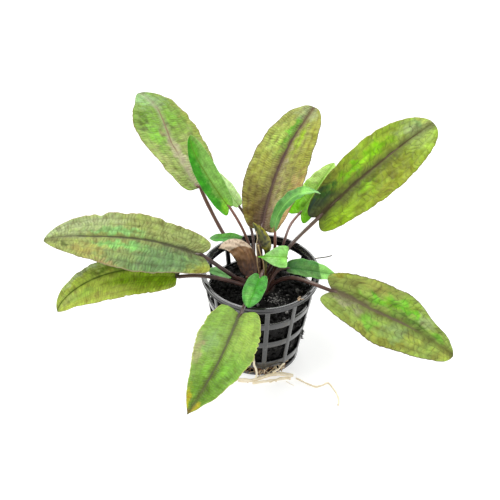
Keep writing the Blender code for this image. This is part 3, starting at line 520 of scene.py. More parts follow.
def flowing(points, count):
    """Smooth curve through points: Catmull-Rom spans, sampled evenly over the points."""
    inner = np.asarray(points, float)
    p = np.vstack([2 * inner[0] - inner[1], inner, 2 * inner[-1] - inner[-2]])
    u = np.linspace(0, len(inner) - 1, count)
    i = np.minimum(u.astype(int), len(inner) - 2)
    f = (u - i).reshape((-1,) + (1,) * (inner.ndim - 1))
    a, b, c, d = p[i], p[i + 1], p[i + 2], p[i + 3]
    return 0.5 * (2 * b + (c - a) * f + (2 * a - 5 * b + 4 * c - d) * f ** 2
                  + (3 * b - a - 3 * c + d) * f ** 3)


def unit(vectors):
    """Vectors scaled to a length of 1."""
    return vectors / np.maximum(np.linalg.norm(vectors, axis=-1, keepdims=True), 1e-12)


def smooth_step(value, low, high):
    """0 up to low, 1 from high and a smooth cubic between them."""
    share = np.clip((value - low) / (high - low), 0, 1)
    return share * share * (3 - 2 * share)


def mixed(first, second, weight):
    """Colours moved towards a second colour by a weight for each point."""
    return first + (second - first) * weight[..., None]


def round_axis(turn):
    """Ways out and along the wall at an angle round the pot's axis."""
    out = np.array((math.cos(turn), math.sin(turn), 0.0))
    return out, np.array((-out[1], out[0], 0.0))


# Meshes

def add_object(name, data):
    """New object that holds the data, linked to the scene."""
    item = bpy.data.objects.new(name, data)
    bpy.context.scene.collection.objects.link(item)
    return item


class Piece:
    """Collects the surfaces of one piece, with the tint, place and rung of each point."""

    def __init__(self):
        self.points, self.faces, self.slots = [], [], []
        self.tints, self.places, self.rungs = [], [], []
        self.count = 0

    def add(self, points, faces, slot=0, tint=(1, 1, 1), place=(0, 0, 0), rung=0.0):
        points = np.asarray(points, float).reshape(-1, 3)
        total = len(points)
        self.points.append(points)
        self.tints.append(np.broadcast_to(np.asarray(tint, float).reshape(-1, 3), (total, 3)))
        self.places.append(np.broadcast_to(np.asarray(place, float).reshape(-1, 3), (total, 3)))
        self.rungs.append(np.broadcast_to(np.asarray(rung, float).ravel(), total))
        for block in faces:
            block = np.asarray(block) + self.count
            self.faces.extend(block.tolist())
            self.slots.extend([slot] * len(block))
        self.count += total

    def build(self, name, materials, node, smooth_angle=None):
        """Makes the mesh object in metres with its attributes, and lets it ride on the plant's body.

        It stands in for a node of the solids, or is a piece of the scene's own if node is None.
        """
        mesh = bpy.data.meshes.new(name)
        mesh.from_pydata((np.vstack(self.points) * MM).tolist(), [], self.faces)
        shape = bmesh.new()
        shape.from_mesh(mesh)
        bmesh.ops.recalc_face_normals(shape, faces=shape.faces)
        shape.to_mesh(mesh)
        shape.free()
        mesh.polygons.foreach_set("material_index", np.array(self.slots, np.int32))
        tint = mesh.attributes.new("tint", "FLOAT_COLOR", "POINT")
        colour = np.hstack([np.vstack(self.tints), np.ones((self.count, 1))])
        tint.data.foreach_set("color", colour.astype(np.float32).ravel())
        place = mesh.attributes.new("place", "FLOAT_VECTOR", "POINT")
        place.data.foreach_set("vector", np.vstack(self.places).astype(np.float32).ravel())
        rung = mesh.attributes.new("rung", "FLOAT", "POINT")
        rung.data.foreach_set("value", np.concatenate(self.rungs).astype(np.float32))
        mesh.shade_smooth()
        if smooth_angle is not None:
            mesh.set_sharp_from_angle(angle=math.radians(smooth_angle))
        mesh.update()
        for material in materials:
            mesh.materials.append(material)
        item = add_object(name, mesh)
        if node:
            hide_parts(node)
        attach(item, BODY)


def grid_faces(rows, columns, wrap=False):
    """Quads of a grid of points; wrap joins the last column to the first."""
    r = np.arange(rows - 1)[:, None]
    c = np.arange(columns if wrap else columns - 1)[None, :]
    n = (c + 1) % columns
    return np.stack([r * columns + c, r * columns + n, (r + 1) * columns + n, (r + 1) * columns + c],
                    -1).reshape(-1, 4)


def ring_faces(rows, columns):
    """Faces of a tube of rings whose ends are closed with a fan; the two end points come last."""
    first = rows * columns
    c = np.arange(columns)
    n = (c + 1) % columns
    start = np.stack([np.full(columns, first), n, c], -1)
    end = np.stack([np.full(columns, first + 1), (rows - 1) * columns + c, (rows - 1) * columns + n], -1)
    return [grid_faces(rows, columns, True), start, end]


def with_ends(rings, first, last):
    """Points of a closed tube: its rings, then the middles of its two ends, with the faces."""
    points = np.vstack([rings.reshape(-1, 3), [first, last]])
    return points, ring_faces(len(rings), rings.shape[1])


def doubled(upper, lower):
    """Grids of the two sides of a sheet as one grid: the lower one runs back under the upper one."""
    return np.concatenate([upper, lower[:, ::-1]], 1)


def sheet_faces(skin):
    """Faces of a doubled grid: quads all round, and strips that close its two ends."""
    rows, columns = skin.shape[:2]
    near = np.arange(columns // 2 - 1)
    far = columns - 1 - near
    base = np.stack([near, near + 1, far - 1, far], -1)
    return [grid_faces(rows, columns, True), base, (rows - 1) * columns + base[:, ::-1]]


def tube(path, radii, sides=12, across=(0, 0, 1)):
    """Rings round a path, each in the plane across it, then its two end points.

    A ring point is path + radius * (side * cos + top * sin); `across` keeps the rings from turning, so it
    should stay away from the path's direction.
    """
    path = np.asarray(path, float)
    ahead = unit(np.gradient(path, axis=0))
    guide = np.broadcast_to(np.asarray(across, float), path.shape)
    side = unit(guide - (guide * ahead).sum(-1, keepdims=True) * ahead)
    top = np.cross(ahead, side)
    turn = np.linspace(0, TAU, sides, endpoint=False)
    radii = np.broadcast_to(np.asarray(radii, float), len(path))[:, None, None]
    rings = path[:, None] + radii * (side[:, None] * np.cos(turn)[None, :, None]
                                     + top[:, None] * np.sin(turn)[None, :, None])
    return with_ends(rings, path[0], path[-1])


def lathe(radius, height, steps):
    """Rings of points round the z axis, one ring for each radius and its height."""
    turn = np.linspace(0, TAU, steps, endpoint=False)
    return np.stack([radius[:, None] * np.cos(turn), radius[:, None] * np.sin(turn),
                     np.broadcast_to(height[:, None], (len(radius), steps))], -1)


def turned(profile, steps=120):
    """Closed ring or disc turned from a closed loop of (radius, height) points."""
    loop = np.asarray(profile, float)
    points = lathe(loop[:, 0], loop[:, 1], steps).swapaxes(0, 1)
    rows, columns = points.shape[:2]
    index = np.arange(rows * columns).reshape(rows, columns)
    right = np.roll(index, -1, 0)
    faces = np.stack([index, np.roll(index, -1, 1), np.roll(right, -1, 1), right], -1)
    return points.reshape(-1, 3), [faces.reshape(-1, 4)]


def rounded_loop(corners, radius, steps=3):
    """Closed outline with its corners rounded: each corner becomes a short quadratic curve."""
    corners = np.asarray(corners, float)
    before, after = np.roll(corners, 1, 0), np.roll(corners, -1, 0)
    back, on = before - corners, after - corners
    room = np.minimum(np.linalg.norm(back, axis=1), np.linalg.norm(on, axis=1)) * 0.45
    reach = np.minimum(radius, room)[:, None]
    start, end = corners + unit(back) * reach, corners + unit(on) * reach
    u = np.linspace(0, 1, steps + 1)[None, :, None]
    arc = (1 - u) ** 2 * start[:, None] + 2 * u * (1 - u) * corners[:, None] + u ** 2 * end[:, None]
    return arc.reshape(-1, corners.shape[1])


# Leaf surfaces

def midrib(leaf, share, steps=60):
    """Points on the midrib at a share of the length, with the ways forward, left and up there.

    The heading turns evenly from the base and the pitch changes to tip_pitch; the points are the sum of
    the steps ahead. A negative share runs straight back from the base, for the lobes.
    """
    s = np.linspace(0.0, 1.0, steps + 1)
    heading = np.radians(leaf["heading"] + leaf.get("turn", 0) * s)
    bend = (leaf["tip_pitch"] - leaf["pitch"]) * s ** leaf.get("late", 1.0)
    pitch = np.radians(leaf["pitch"] + bend)
    ahead = np.stack([np.cos(pitch) * np.cos(heading), np.cos(pitch) * np.sin(heading), np.sin(pitch)], 1)
    walk = np.cumsum(0.5 * (ahead[1:] + ahead[:-1]) * leaf["length"] / steps, 0)
    track = np.vstack([np.zeros((1, 3)), walk]) + np.array(leaf["base"], float)
    inside = np.clip(share, 0.0, 1.0)
    point = np.stack([np.interp(inside, s, track[:, i]) for i in range(3)], -1)
    front = unit(np.stack([np.interp(inside, s, ahead[:, i]) for i in range(3)], -1))
    turn = np.interp(inside, s, heading)
    left = np.stack([-np.sin(turn), np.cos(turn), np.zeros_like(turn)], -1)
    up = np.cross(front, left)
    roll = math.radians(leaf["roll"])
    left, up = left * math.cos(roll) + up * math.sin(roll), up * math.cos(roll) - left * math.sin(roll)
    point = point + np.minimum(share, 0.0)[..., None] * leaf["length"] * front
    return point, front, left, up


def blade(leaf, share, side):
    """Points of the blade, with the way up and the distance across, from share and side (-1 to 1).

    The half-width grows as a quarter ellipse to its widest and closes as a power curve. Each half folds
    up from the midrib, and the base sweeps back on both sides into lobes. Each bulge (edge, share, reach,
    mm) widens or narrows one edge by a smooth hump.
    """
    def pick(key, default):
        values = leaf.get(key, default)
        return np.where(side > 0, values[0], values[1])
    widest = pick("widest", (0.42, 0.42))
    foot = pick("base_width", (0.42, 0.42))
    before = np.clip(1 - share / widest, 0, 1)
    after = np.clip((share - widest) / (1 - widest), 0, 1)
    half = np.where(share < widest, foot + (1 - foot) * np.sqrt(1 - before ** 2),
                    (1 - after ** 2.2) ** pick("tip", (0.62, 0.62)))
    width = pick("width", None) * half
    for edge, at, reach, amount in leaf.get("bulge", ()):
        width = width + amount * np.exp(-((share - at) / reach) ** 2) * (side * edge > 0) * (1 - share ** 8)
    width = np.maximum(width, 0.3)
    back = pick("lobe", None) / leaf["length"] * (1 - share) ** 5
    point, _, left, up = midrib(leaf, share - back * np.sin(math.pi / 2 * np.abs(side)))
    fold = np.radians(pick("fold", None))
    across = width * side * np.cos(fold)
    lift = width * np.abs(side) * np.sin(fold)
    return point + left * across[..., None] + up * lift[..., None], up, across


def blade_size(leaf):
    """Size of a blade's relief: 1 for blades of 60 mm and more, and half for the smallest."""
    return max(min(1.0, leaf["length"] / 60), 0.5)


def rib_side(look, share):
    """Side at which the midrib runs."""
    at, off = zip(*look.get("rib", ((0, 0), (1, 0))))
    return np.interp(share, at, off)


def rungs(look, along, off_rib, size):
    """Count of the cross veins passed: they lean towards the tip and wander."""
    lean = np.where(off_rib > 0, *look.get("lean", (0.4, 0.4)))
    drift = ripple(look["seed"] + 5, 3, along / 16, off_rib / 8)
    return (along - lean * np.abs(off_rib)) / (look.get("pace", 1.6) * max(size, 0.7)) + 0.6 * drift


def relief(look, share, half, along, off_rib, rung, size):
    """Height of the blade's surface over its plain shape, in millimetres.

    The midrib is a groove in a wider crease; the skin between the cross veins and the long side veins
    swells like a quilt; the margin undulates, and the whole blade buckles gently.
    """
    seed = look["seed"]
    buckle = ripple(seed, 2, along / 34, off_rib / 22)
    dents = ripple(seed + 3, 3, along / 6, off_rib / 5)
    far = np.abs(off_rib) / size
    groove = -0.30 * np.exp(-(far / 0.8) ** 2) - look.get("crease", 0.35) * np.exp(-far / 3.0)
    patchy = ripple(seed + 6, 2, along / 11, off_rib / 7)
    quilt = (np.abs(np.sin(math.pi * rung)) ** 0.8 * np.clip(0.5 + 0.6 * patchy, 0, 1)
             * np.clip(np.abs(np.sin(math.pi * (4 * half + 0.25 * dents))), 0, 1) ** 0.7)
    middle = np.clip(np.abs(half) * 5, 0, 1) * np.clip((1 - np.abs(half)) * 5, 0, 1)
    wave = np.abs(half) ** 3 * np.sin(
        TAU * along / (13 * size) + seed + np.where(half > 0, 0.0, 2.1) + buckle * 3)
    ends = np.sin(math.pi * np.clip(share, 0, 1)) ** 0.5
    return size * (groove * (1 - share) ** 0.3 + look["swell"] * 0.75 * quilt * middle
                   + 0.6 * wave * ends + 0.35 * buckle * ends
                   + 0.20 * dents * middle)


def skin_tone(name):
    """Colour of a tone less the little that gloss adds to it."""
    return np.maximum(np.array(tone(TONES[name])) - 0.014, 0.002)


def patch_tones(look, share, side, half, along, off_rib, rung):
    """Colour of each point of a blade.

    Each patch is mixed into the ground tone where its oval lies, with a ragged edge. Lighter and browner
    flecks are drawn out along the cross veins, and each cell between veins gets a value of its own, from
    a sine of the cell's numbers with large factors.
    """
    seed = look["seed"]
    cells = look.get("cells", 0.5)
    cell = np.floor(rung) * 12.9898 + np.floor(4 * np.abs(half)) * 78.233 + np.sign(half) * 37.7 + seed
    cell = np.modf(np.abs(np.sin(cell)) * 437.58)[0] - 0.5
    shift, drift = (ripple(seed + extra, 3, along / 7, off_rib / 5) for extra in (50, 70))
    colour = np.broadcast_to(skin_tone(look["ground"]), share.shape + (3,))
    for at, off, reach, spread, name, strength in look["patches"]:
        far = ((share + 0.035 * shift - at) / reach) ** 2 + ((side + 0.12 * drift - off) / spread) ** 2
        weight = strength * np.exp(-np.maximum(far + cells * cell, 0) ** 1.6)
        colour = mixed(colour, skin_tone(name), weight)
    streak = ripple(seed + 90, 3, rung * 0.45, off_rib / 6)
    long, wide = look.get("blot", (4.5, 3.2))
    blot = ripple(seed + 95, 4, along / long, off_rib / wide)
    strong = 0.6 + 0.4 * look["net"]
    lift = 1 + strong * (0.16 * streak + 0.19 * blot + 0.45 * cells * cell)
    brown = strong * 0.5 * smooth_step(-0.5 * streak - 0.8 * blot, 0.2, 1.0)
    fresh = strong * 0.35 * smooth_step(0.4 * streak + 0.8 * blot, 0.3, 1.0)
    colour = colour * lift[..., None]
    colour = mixed(colour, colour * np.array((1.0, 0.76, 0.75)), brown)
    colour = mixed(colour, colour * np.array((0.86, 1.08, 0.5)), fresh)
    if "shade_end" in look:
        start = look["shade_end"]
        lit = skin_tone("mint_bright") * (0.85 + 0.1 * blot)[..., None]
        colour = mixed(colour, lit, smooth_step(share + 0.06 * side, start, start + 0.03))
    return np.clip(colour, 0.001, 1)


def stalk_path(leaf, count):
    """Stalk from the crown to the foot of the blade: a cubic curve."""
    foot = np.array(leaf["root"], float)
    top = np.array(leaf["base"], float)
    reach = np.linalg.norm(top - foot)
    rise = unit(np.array(leaf.get("up", (0, 0, 1)), float))
    ahead = midrib(leaf, np.zeros(1))[1][0]
    lead = unit(np.array(leaf.get("lead", ahead), float))
    u = np.linspace(0.0, 1.0, count)[:, None]
    first = foot + rise * reach * leaf.get("up_share", 0.4)
    second = top - lead * reach * 0.4
    line = (1 - u) ** 3 * foot + 3 * (1 - u) ** 2 * u * first + 3 * (1 - u) * u ** 2 * second + u ** 3 * top
    below = foot - rise * np.linspace(2.2, 0.3, 4)[:, None]
    return np.vstack([below, line])


def add_blade(piece, leaf, look, thickness, rows, columns):
    """Blade as a closed skin: the upper surface, and a lower one that closes in towards the margin.

    The columns run along the midrib and crowd beside it; the margin is notched where it is torn.
    """
    share = 0.4 * 0.5 * (1 - np.cos(math.pi * np.linspace(0, 1, rows))) + 0.6 * np.linspace(0, 1, rows)
    half = np.linspace(-1, 1, columns)
    half = np.sign(half) * np.abs(half) ** 1.25
    share, half = np.meshgrid(share, half, indexing="ij")
    rib = rib_side(look, share)
    side = rib + half * np.where(half > 0, 1 - rib, 1 + rib)
    size = blade_size(leaf)
    along = share * leaf["length"]
    ragged = 0.16 * size * ripple(look["seed"] + 8, 3, along / 3.0, np.sign(half))
    for at, edge, reach, depth in look.get("nicks", ()):
        ragged = ragged - depth * np.exp(-((share - at) / reach) ** 2) * (np.sign(half) == edge)
    width = max(leaf["width"])
    side = side * (1 + ragged / width * np.abs(half) ** 6)
    points, up, across = blade(leaf, share, side)
    off_rib = across - blade(leaf, share, rib)[2]
    rung = rungs(look, along, off_rib, size)
    points = points + up * relief(look, share, half, along, off_rib, rung, size)[..., None]
    thick = thickness * (1 - 0.7 * np.abs(half) ** 4) * (0.4 + 0.6 * size)
    lower = points - up * thick[..., None]
    colour = patch_tones(look, share, side, half, along, off_rib, rung)
    under = colour * 0.55 + skin_tone("pale_sage") * 0.35
    place = np.stack([off_rib, share, half], -1)
    skin = doubled(points, lower)
    piece.add(skin, sheet_faces(skin), 0, doubled(colour, under), doubled(place, place), doubled(rung, rung))


def add_stalk(piece, leaf, look, radius, settings, count):
    """Stalk that widens into a sheath at the crown, dives under the foot of the blade and runs on there
    as its keel, thinning towards the tip."""
    line = stalk_path(leaf, count)
    share = np.linspace(0.015, 0.9, 34)
    size = blade_size(leaf)
    ribs, up, _ = blade(leaf, share, rib_side(look, share))
    keel_radius = radius * (0.95 - 0.85 * share ** 0.8)
    sink = 0.7 * radius + smooth_step(share, 0.0, 0.05) * (
        keel_radius - 0.7 * radius + (0.42 + look.get("crease", 0.35)) * size)
    keel = ribs - up * sink[:, None]
    s = np.linspace(0, 1, len(line))
    line = line - up[0] * (0.7 * radius * smooth_step(s, 0.75, 1.0))[:, None]
    path = np.vstack([line, keel])
    widths = radius * (1 + 0.6 * np.exp(-(s / 0.12) ** 2) - 0.05 * s)
    widths = widths * (1 + 0.05 * soft_noise(line, 9.0, look["seed"], 2))
    radii = np.concatenate([widths, keel_radius])
    chord = line[-1] - line[0]
    across = unit(np.cross(chord, (0, 0, 1.0)) + 1e-6)
    points, faces = tube(path, radii, 12, across)
    low, high = np.array(settings.stalk), np.array(tone(TONES[look.get("stalk_tone", "stalk_brown")]))
    climb = np.concatenate([smooth_step(s, 0.2, 0.9), np.ones(len(keel))])
    rings = low + (high - low) * climb[:, None]
    rings[len(line):] = 0.5 * (high + skin_tone(look["rib_tone"]))
    tints = np.vstack([np.repeat(rings, 12, 0), rings[:1], rings[-1:]])
    piece.add(points, faces, 1, tints)


# Node trees

class Nodes:
    """Short hand for adding and linking shader nodes."""

    def __init__(self, tree):
        self.tree = tree

    def add(self, kind, **values):
        node = self.tree.nodes.new(kind)
        for key, value in values.items():
            setattr(node, key, value)
        return node

    def feed(self, socket, value):
        if isinstance(value, bpy.types.NodeSocket):
            self.tree.links.new(value, socket)
        else:
            socket.default_value = value

    def math(self, operation, first, second=0.0, third=0.0):
        node = self.add("ShaderNodeMath", operation=operation)
        for socket, value in zip(node.inputs, (first, second, third)):
            self.feed(socket, value)
        return node.outputs[0]

    def times(self, first, second):
        return self.math("MULTIPLY", first, second)

    def plus(self, first, second):
        return self.math("ADD", first, second)

    def less(self, first, second):
        return self.math("SUBTRACT", first, second)

    def scaled(self, value, factor, start):
        """Value times a factor, added to a start."""
        return self.math("MULTIPLY_ADD", value, factor, start)

    def spread(self, value, low, high, to_low=0.0, to_high=1.0):
        """Smooth map of a value from low..high to to_low..to_high."""
        node = self.add("ShaderNodeMapRange", interpolation_type="SMOOTHSTEP")
        for socket, item in zip(node.inputs, (value, low, high, to_low, to_high)):
            self.feed(socket, item)
        return node.outputs[0]

    def mix(self, factor, first, second, blend="MIX"):
        node = self.add("ShaderNodeMix", data_type="RGBA", blend_type=blend)
        self.feed(node.inputs[0], factor)
        self.feed(node.inputs[6], first)
        self.feed(node.inputs[7], second)
        return node.outputs[2]

    def noise(self, vector, scale, detail=3.0, rough=0.5):
        node = self.add("ShaderNodeTexNoise")
        self.feed(node.inputs["Vector"], vector)
        self.feed(node.inputs["Scale"], scale)
        self.feed(node.inputs["Detail"], detail)
        self.feed(node.inputs["Roughness"], rough)
        return node.outputs["Fac"]

    def bump(self, height, strength, distance):
        node = self.add("ShaderNodeBump")
        node.inputs["Strength"].default_value = strength
        node.inputs["Distance"].default_value = distance
        self.feed(node.inputs["Height"], height)
        return node.outputs["Normal"]

    def attribute(self, name, output):
        """Value that the mesh holds for each point."""
        node = self.add("ShaderNodeAttribute", attribute_type="GEOMETRY", attribute_name=name)
        return node.outputs[output]

    def where(self):
        """Place of the point in the object's own coordinates."""
        return self.add("ShaderNodeTexCoord").outputs["Object"]

    def group(self, tree, **values):
        node = self.add("ShaderNodeGroup", node_tree=tree)
        for key, value in values.items():
            self.feed(node.inputs[key.replace("_", " ")], value)
        return node


def four(colour):
    return (*tuple(colour)[:3], 1.0)


def new_group(name, inputs, outputs):
    """Empty shader node group with named sockets, its helper, and its sockets that come in and go out."""
    tree = bpy.data.node_groups.new(name, "ShaderNodeTree")
    for direction, sockets in (("INPUT", inputs), ("OUTPUT", outputs)):
        for socket_name, kind, default in sockets:
            socket = tree.interface.new_socket(socket_name, in_out=direction, socket_type=kind)
            if default is not None:
                socket.default_value = default
    nodes = Nodes(tree)
    return tree, nodes, nodes.add("NodeGroupInput").outputs, nodes.add("NodeGroupOutput").inputs


def vein_group():
    """Masks of a leaf's veins from its attributes.

    Place is (mm from the midrib, share of the length, side from the midrib) and Rung counts the cross
    veins. Rib is the midrib, Halo a soft band beside it, Laterals the long side veins, Net the cross
    veins between them, broken here and there, Cushion the swelling between veins and Edge the margin.
    """
    values = (("Foot", 1.2), ("Tip", 0.3), ("Reach", 4.0), ("Start", 0.0), ("End", 1.0), ("Line", 0.14))
    tree, n, inp, out = new_group(
        "leaf_veins",
        (("Place", "NodeSocketVector", None), ("Rung", "NodeSocketFloat", 0.0),
         *((name, "NodeSocketFloat", value) for name, value in values)),
        tuple((name, "NodeSocketFloat", None)
              for name in ("Rib", "Halo", "Laterals", "Net", "Cushion", "Edge")))
    split = n.add("ShaderNodeSeparateXYZ")
    n.feed(split.inputs[0], inp["Place"])
    across, share, side = split.outputs
    where = n.where()
    shake = n.less(n.noise(where, 260.0, 2.0), 0.5)
    gaps = n.noise(where, 180.0, 2.0)
    far = n.math("ABSOLUTE", across)
    edge = n.math("ABSOLUTE", side)
    fall = n.math("POWER", n.math("MAXIMUM", share, 0.0), 0.55)
    wide = n.scaled(fall, n.less(inp["Tip"], inp["Foot"]), inp["Foot"])
    wide = n.times(wide, n.scaled(shake, 0.9, 0.5))
    rib = n.spread(far, n.times(wide, 1.5), n.times(wide, 0.4))
    begun = n.spread(share, n.less(inp["Start"], 0.12), n.plus(inp["Start"], 0.02))
    ended = n.spread(share, n.plus(inp["End"], 0.04), n.less(inp["End"], 0.12))
    n.feed(out["Rib"], n.times(rib, n.times(begun, ended)))
    halo = n.spread(far, n.scaled(fall, n.times(inp["Reach"], -0.6), inp["Reach"]), 0.0)
    n.feed(out["Halo"], n.times(halo, n.scaled(shake, 0.8, 1.0)))
    lines = n.math("PINGPONG", n.scaled(shake, 0.30, n.times(edge, 4.0)), 0.5)
    inside = n.times(n.spread(edge, 0.12, 0.22), n.spread(edge, 1.0, 0.88))
    n.feed(out["Laterals"], n.times(n.spread(lines, 0.11, 0.02), inside))
    steps = n.math("PINGPONG", n.scaled(shake, 0.3, inp["Rung"]), 0.5)
    net = n.spread(steps, inp["Line"], n.times(inp["Line"], 0.15))
    broken = n.times(net, n.spread(gaps, 0.38, 0.58))
    n.feed(out["Net"], n.times(broken, n.spread(edge, 0.02, 0.12)))
    n.feed(out["Cushion"], n.times(n.spread(steps, 0.0, 0.4), n.spread(lines, 0.0, 0.35)))
    n.feed(out["Edge"], n.spread(edge, 0.955, 0.99))
    return tree


def fleck_group():
    """Fine mottling that several skins share: a cloudy value and a grainy one, about -0.5 to 0.5."""
    tree, n, inp, out = new_group(
        "flecks",
        (("Vector", "NodeSocketVector", None), ("Size", "NodeSocketFloat", 400.0)),
        (("Cloud", "NodeSocketFloat", None), ("Grain", "NodeSocketFloat", None)))
    cloud = n.noise(inp["Vector"], inp["Size"], 4.0, 0.6)
    grain = n.noise(inp["Vector"], n.times(inp["Size"], 3.5), 3.0, 0.6)
    n.feed(out["Cloud"], n.less(cloud, 0.5))
    n.feed(out["Grain"], n.less(grain, 0.5))
    return tree


def new_material(name):
    material = bpy.data.materials.new(name)
    material.use_nodes = True
    nodes = Nodes(material.node_tree)
    shader = material.node_tree.nodes["Principled BSDF"]
    return material, nodes, shader


def mottled(name, groups, size):
    """New material with the shared mottling at one size."""
    material, n, shader = new_material(name)
    return material, n, shader, n.group(groups["flecks"], Vector=n.where(), Size=size).outputs


def leaf_material(name, settings, groups, look, young):
    """Skin of a blade: its painted tint, darker along the veins, with painted highlights on the cushions."""
    material, n, shader, flecks = mottled(name, groups, 420.0)
    foot, tip = look["rib_width"]
    start, end = look.get("rib_seen", (-1, 2))
    pace = look.get("pace", 1.6)
    net = look["net"]
    reach, depth, halo_tone = look.get("halo", (3.0 + foot, 0.35, look["rib_tone"]))
    veins = n.group(groups["veins"], Place=n.attribute("place", "Vector"), Rung=n.attribute("rung", "Fac"),
                    Foot=foot, Tip=tip, Reach=reach, Start=start, End=end, Line=0.21 / pace).outputs
    shade = n.scaled(flecks["Cloud"], 0.55, 0.95)
    shade = n.plus(shade, n.times(flecks["Grain"], 0.5))
    # Painted highlight: the swelling cushions between the veins are lightened.
    shade = n.plus(shade, n.times(veins["Cushion"], 0.08 + 0.06 * net))
    grey = n.add("ShaderNodeCombineColor")
    for socket in grey.inputs:
        n.feed(socket, shade)
    colour = n.mix(1.0, n.attribute("tint", "Color"), grey.outputs[0], "MULTIPLY")
    rib = four(skin_tone(look["rib_tone"]))
    vein = rib if young else four(settings.vein)
    margin = four(settings.young_margin if young else skin_tone(look["margin"]))
    for mask, strength, paint in (
            ("Halo", depth, four(skin_tone(halo_tone))),
            ("Laterals", 0.08 + 0.15 * net, vein),
            ("Net", (0.02 + 0.50 * net) * (pace / 1.5) ** 0.8, vein),
            ("Rib", 0.75 + 0.15 * net, rib),
            ("Edge", 0.45 if young else 0.8, margin)):
        colour = n.mix(n.times(veins[mask], strength), colour, paint)
    n.feed(shader.inputs["Base Color"], colour)
    n.feed(shader.inputs["Roughness"], n.scaled(flecks["Cloud"], 0.3, 0.42 if young else 0.5))
    height = n.scaled(flecks["Grain"], 0.25, n.times(veins["Cushion"], 0.5))
    height = n.less(height, n.times(veins["Net"], 0.5 * net))
    height = n.plus(height, n.times(flecks["Cloud"], 0.8))
    n.feed(shader.inputs["Normal"], n.bump(height, 0.55 if young else 0.9, 0.00022))
    shader.inputs["Specular IOR Level"].default_value = 0.18
    shader.inputs["Coat Weight"].default_value = 0.04 if young else 0.02
    shader.inputs["Coat Roughness"].default_value = 0.22
    shader.inputs["Subsurface Weight"].default_value = 0.06
    shader.inputs["Subsurface Radius"].default_value = (0.5, 1.0, 0.2)
    shader.inputs["Subsurface Scale"].default_value = 0.001
    return material


def stalk_material(name, groups):
    """Glossy stalk: its painted tint with fine streaks along it."""
    material, n, shader, flecks = mottled(name, groups, 300.0)
    tint = n.attribute("tint", "Color")
    colour = n.mix(n.spread(flecks["Cloud"], -0.2, 0.25), tint, n.mix(0.3, tint, (0.20, 0.07, 0.045, 1)))
    n.feed(shader.inputs["Base Color"], colour)
    n.feed(shader.inputs["Roughness"], n.scaled(flecks["Grain"], 0.3, 0.36))
    n.feed(shader.inputs["Normal"], n.bump(flecks["Cloud"], 0.3, 0.0002))
    shader.inputs["Coat Weight"].default_value = 0.2
    return material


def plastic_material(settings, groups):
    """Moulded black plastic with faint scuffs that double as a painted grey sheen, and dust."""
    material, n, shader, flecks = mottled("pot_plastic", groups, 160.0)
    scuffs_and_sheen = n.spread(flecks["Cloud"], 0.02, 0.22)
    dust = n.spread(flecks["Grain"], 0.08, 0.25)
    # Painted sheen: the scuff grey lightens the black plastic in patches, besides marking wear.
    colour = n.mix(n.times(scuffs_and_sheen, 0.35), four(settings.plastic), four(settings.scuffs_and_sheen))
    colour = n.mix(n.times(dust, 0.35), colour, (0.16, 0.15, 0.13, 1))
    n.feed(shader.inputs["Base Color"], colour)
    n.feed(shader.inputs["Roughness"], n.scaled(scuffs_and_sheen, 0.14, 0.22))
    n.feed(shader.inputs["Normal"], n.bump(flecks["Cloud"], 0.25, 0.0003))
    shader.inputs["Specular IOR Level"].default_value = 0.7
    shader.inputs["Coat Weight"].default_value = 0.6
    shader.inputs["Coat Roughness"].default_value = 0.16
    return material


def fill_material(settings, groups):
    """Damp black crumbs with pale specks."""
    material, n, shader, flecks = mottled("damp_fill", groups, 500.0)
    colour = n.mix(n.spread(flecks["Cloud"], -0.25, 0.3), four(settings.black), n.attribute("tint", "Color"))
    colour = n.mix(n.times(n.spread(flecks["Grain"], 0.20, 0.27), 0.7), colour, four(settings.speck))
    n.feed(shader.inputs["Base Color"], colour)
    n.feed(shader.inputs["Roughness"], n.scaled(flecks["Cloud"], 0.5, 0.62))
    n.feed(shader.inputs["Normal"], n.bump(n.plus(flecks["Cloud"], flecks["Grain"]), 0.8, 0.0005))
    shader.inputs["Specular IOR Level"].default_value = 0.16
    return material


def skin_material(name, groups, second, size, roughness, bump=0.4, gloss=0.0):
    """Painted tint clouded by a second colour, for the crown, roots, litter, and the rolled and dry leaf."""
    material, n, shader, flecks = mottled(name, groups, size)
    colour = n.mix(n.spread(flecks["Cloud"], -0.05, 0.3), n.attribute("tint", "Color"), four(second))
    colour = n.mix(n.times(n.spread(flecks["Grain"], 0.0, 0.3), 0.3), colour, four(second))
    n.feed(shader.inputs["Base Color"], colour)
    n.feed(shader.inputs["Roughness"], n.scaled(flecks["Grain"], 0.3, roughness))
    n.feed(shader.inputs["Normal"], n.bump(flecks["Cloud"], bump, 0.0003))
    shader.inputs["Coat Weight"].default_value = gloss
    return material


def shared_groups():
    """The node groups, built once."""
    veins = bpy.data.node_groups.get("leaf_veins") or vein_group()
    flecks = bpy.data.node_groups.get("flecks") or fleck_group()
    return {"veins": veins, "flecks": flecks}


# Operators

def wall_radius(height):
    """Outer radius of the tapered wall at a height."""
    share = (np.asarray(height, float) - FOOT_RIM) / (POT_HIGH.z / MM - LIP_HEIGHT - FOOT_RIM)
    return WALL_FOOT_RADIUS + (WALL_TOP_RADIUS - WALL_FOOT_RADIUS) * np.clip(share, 0, 1)


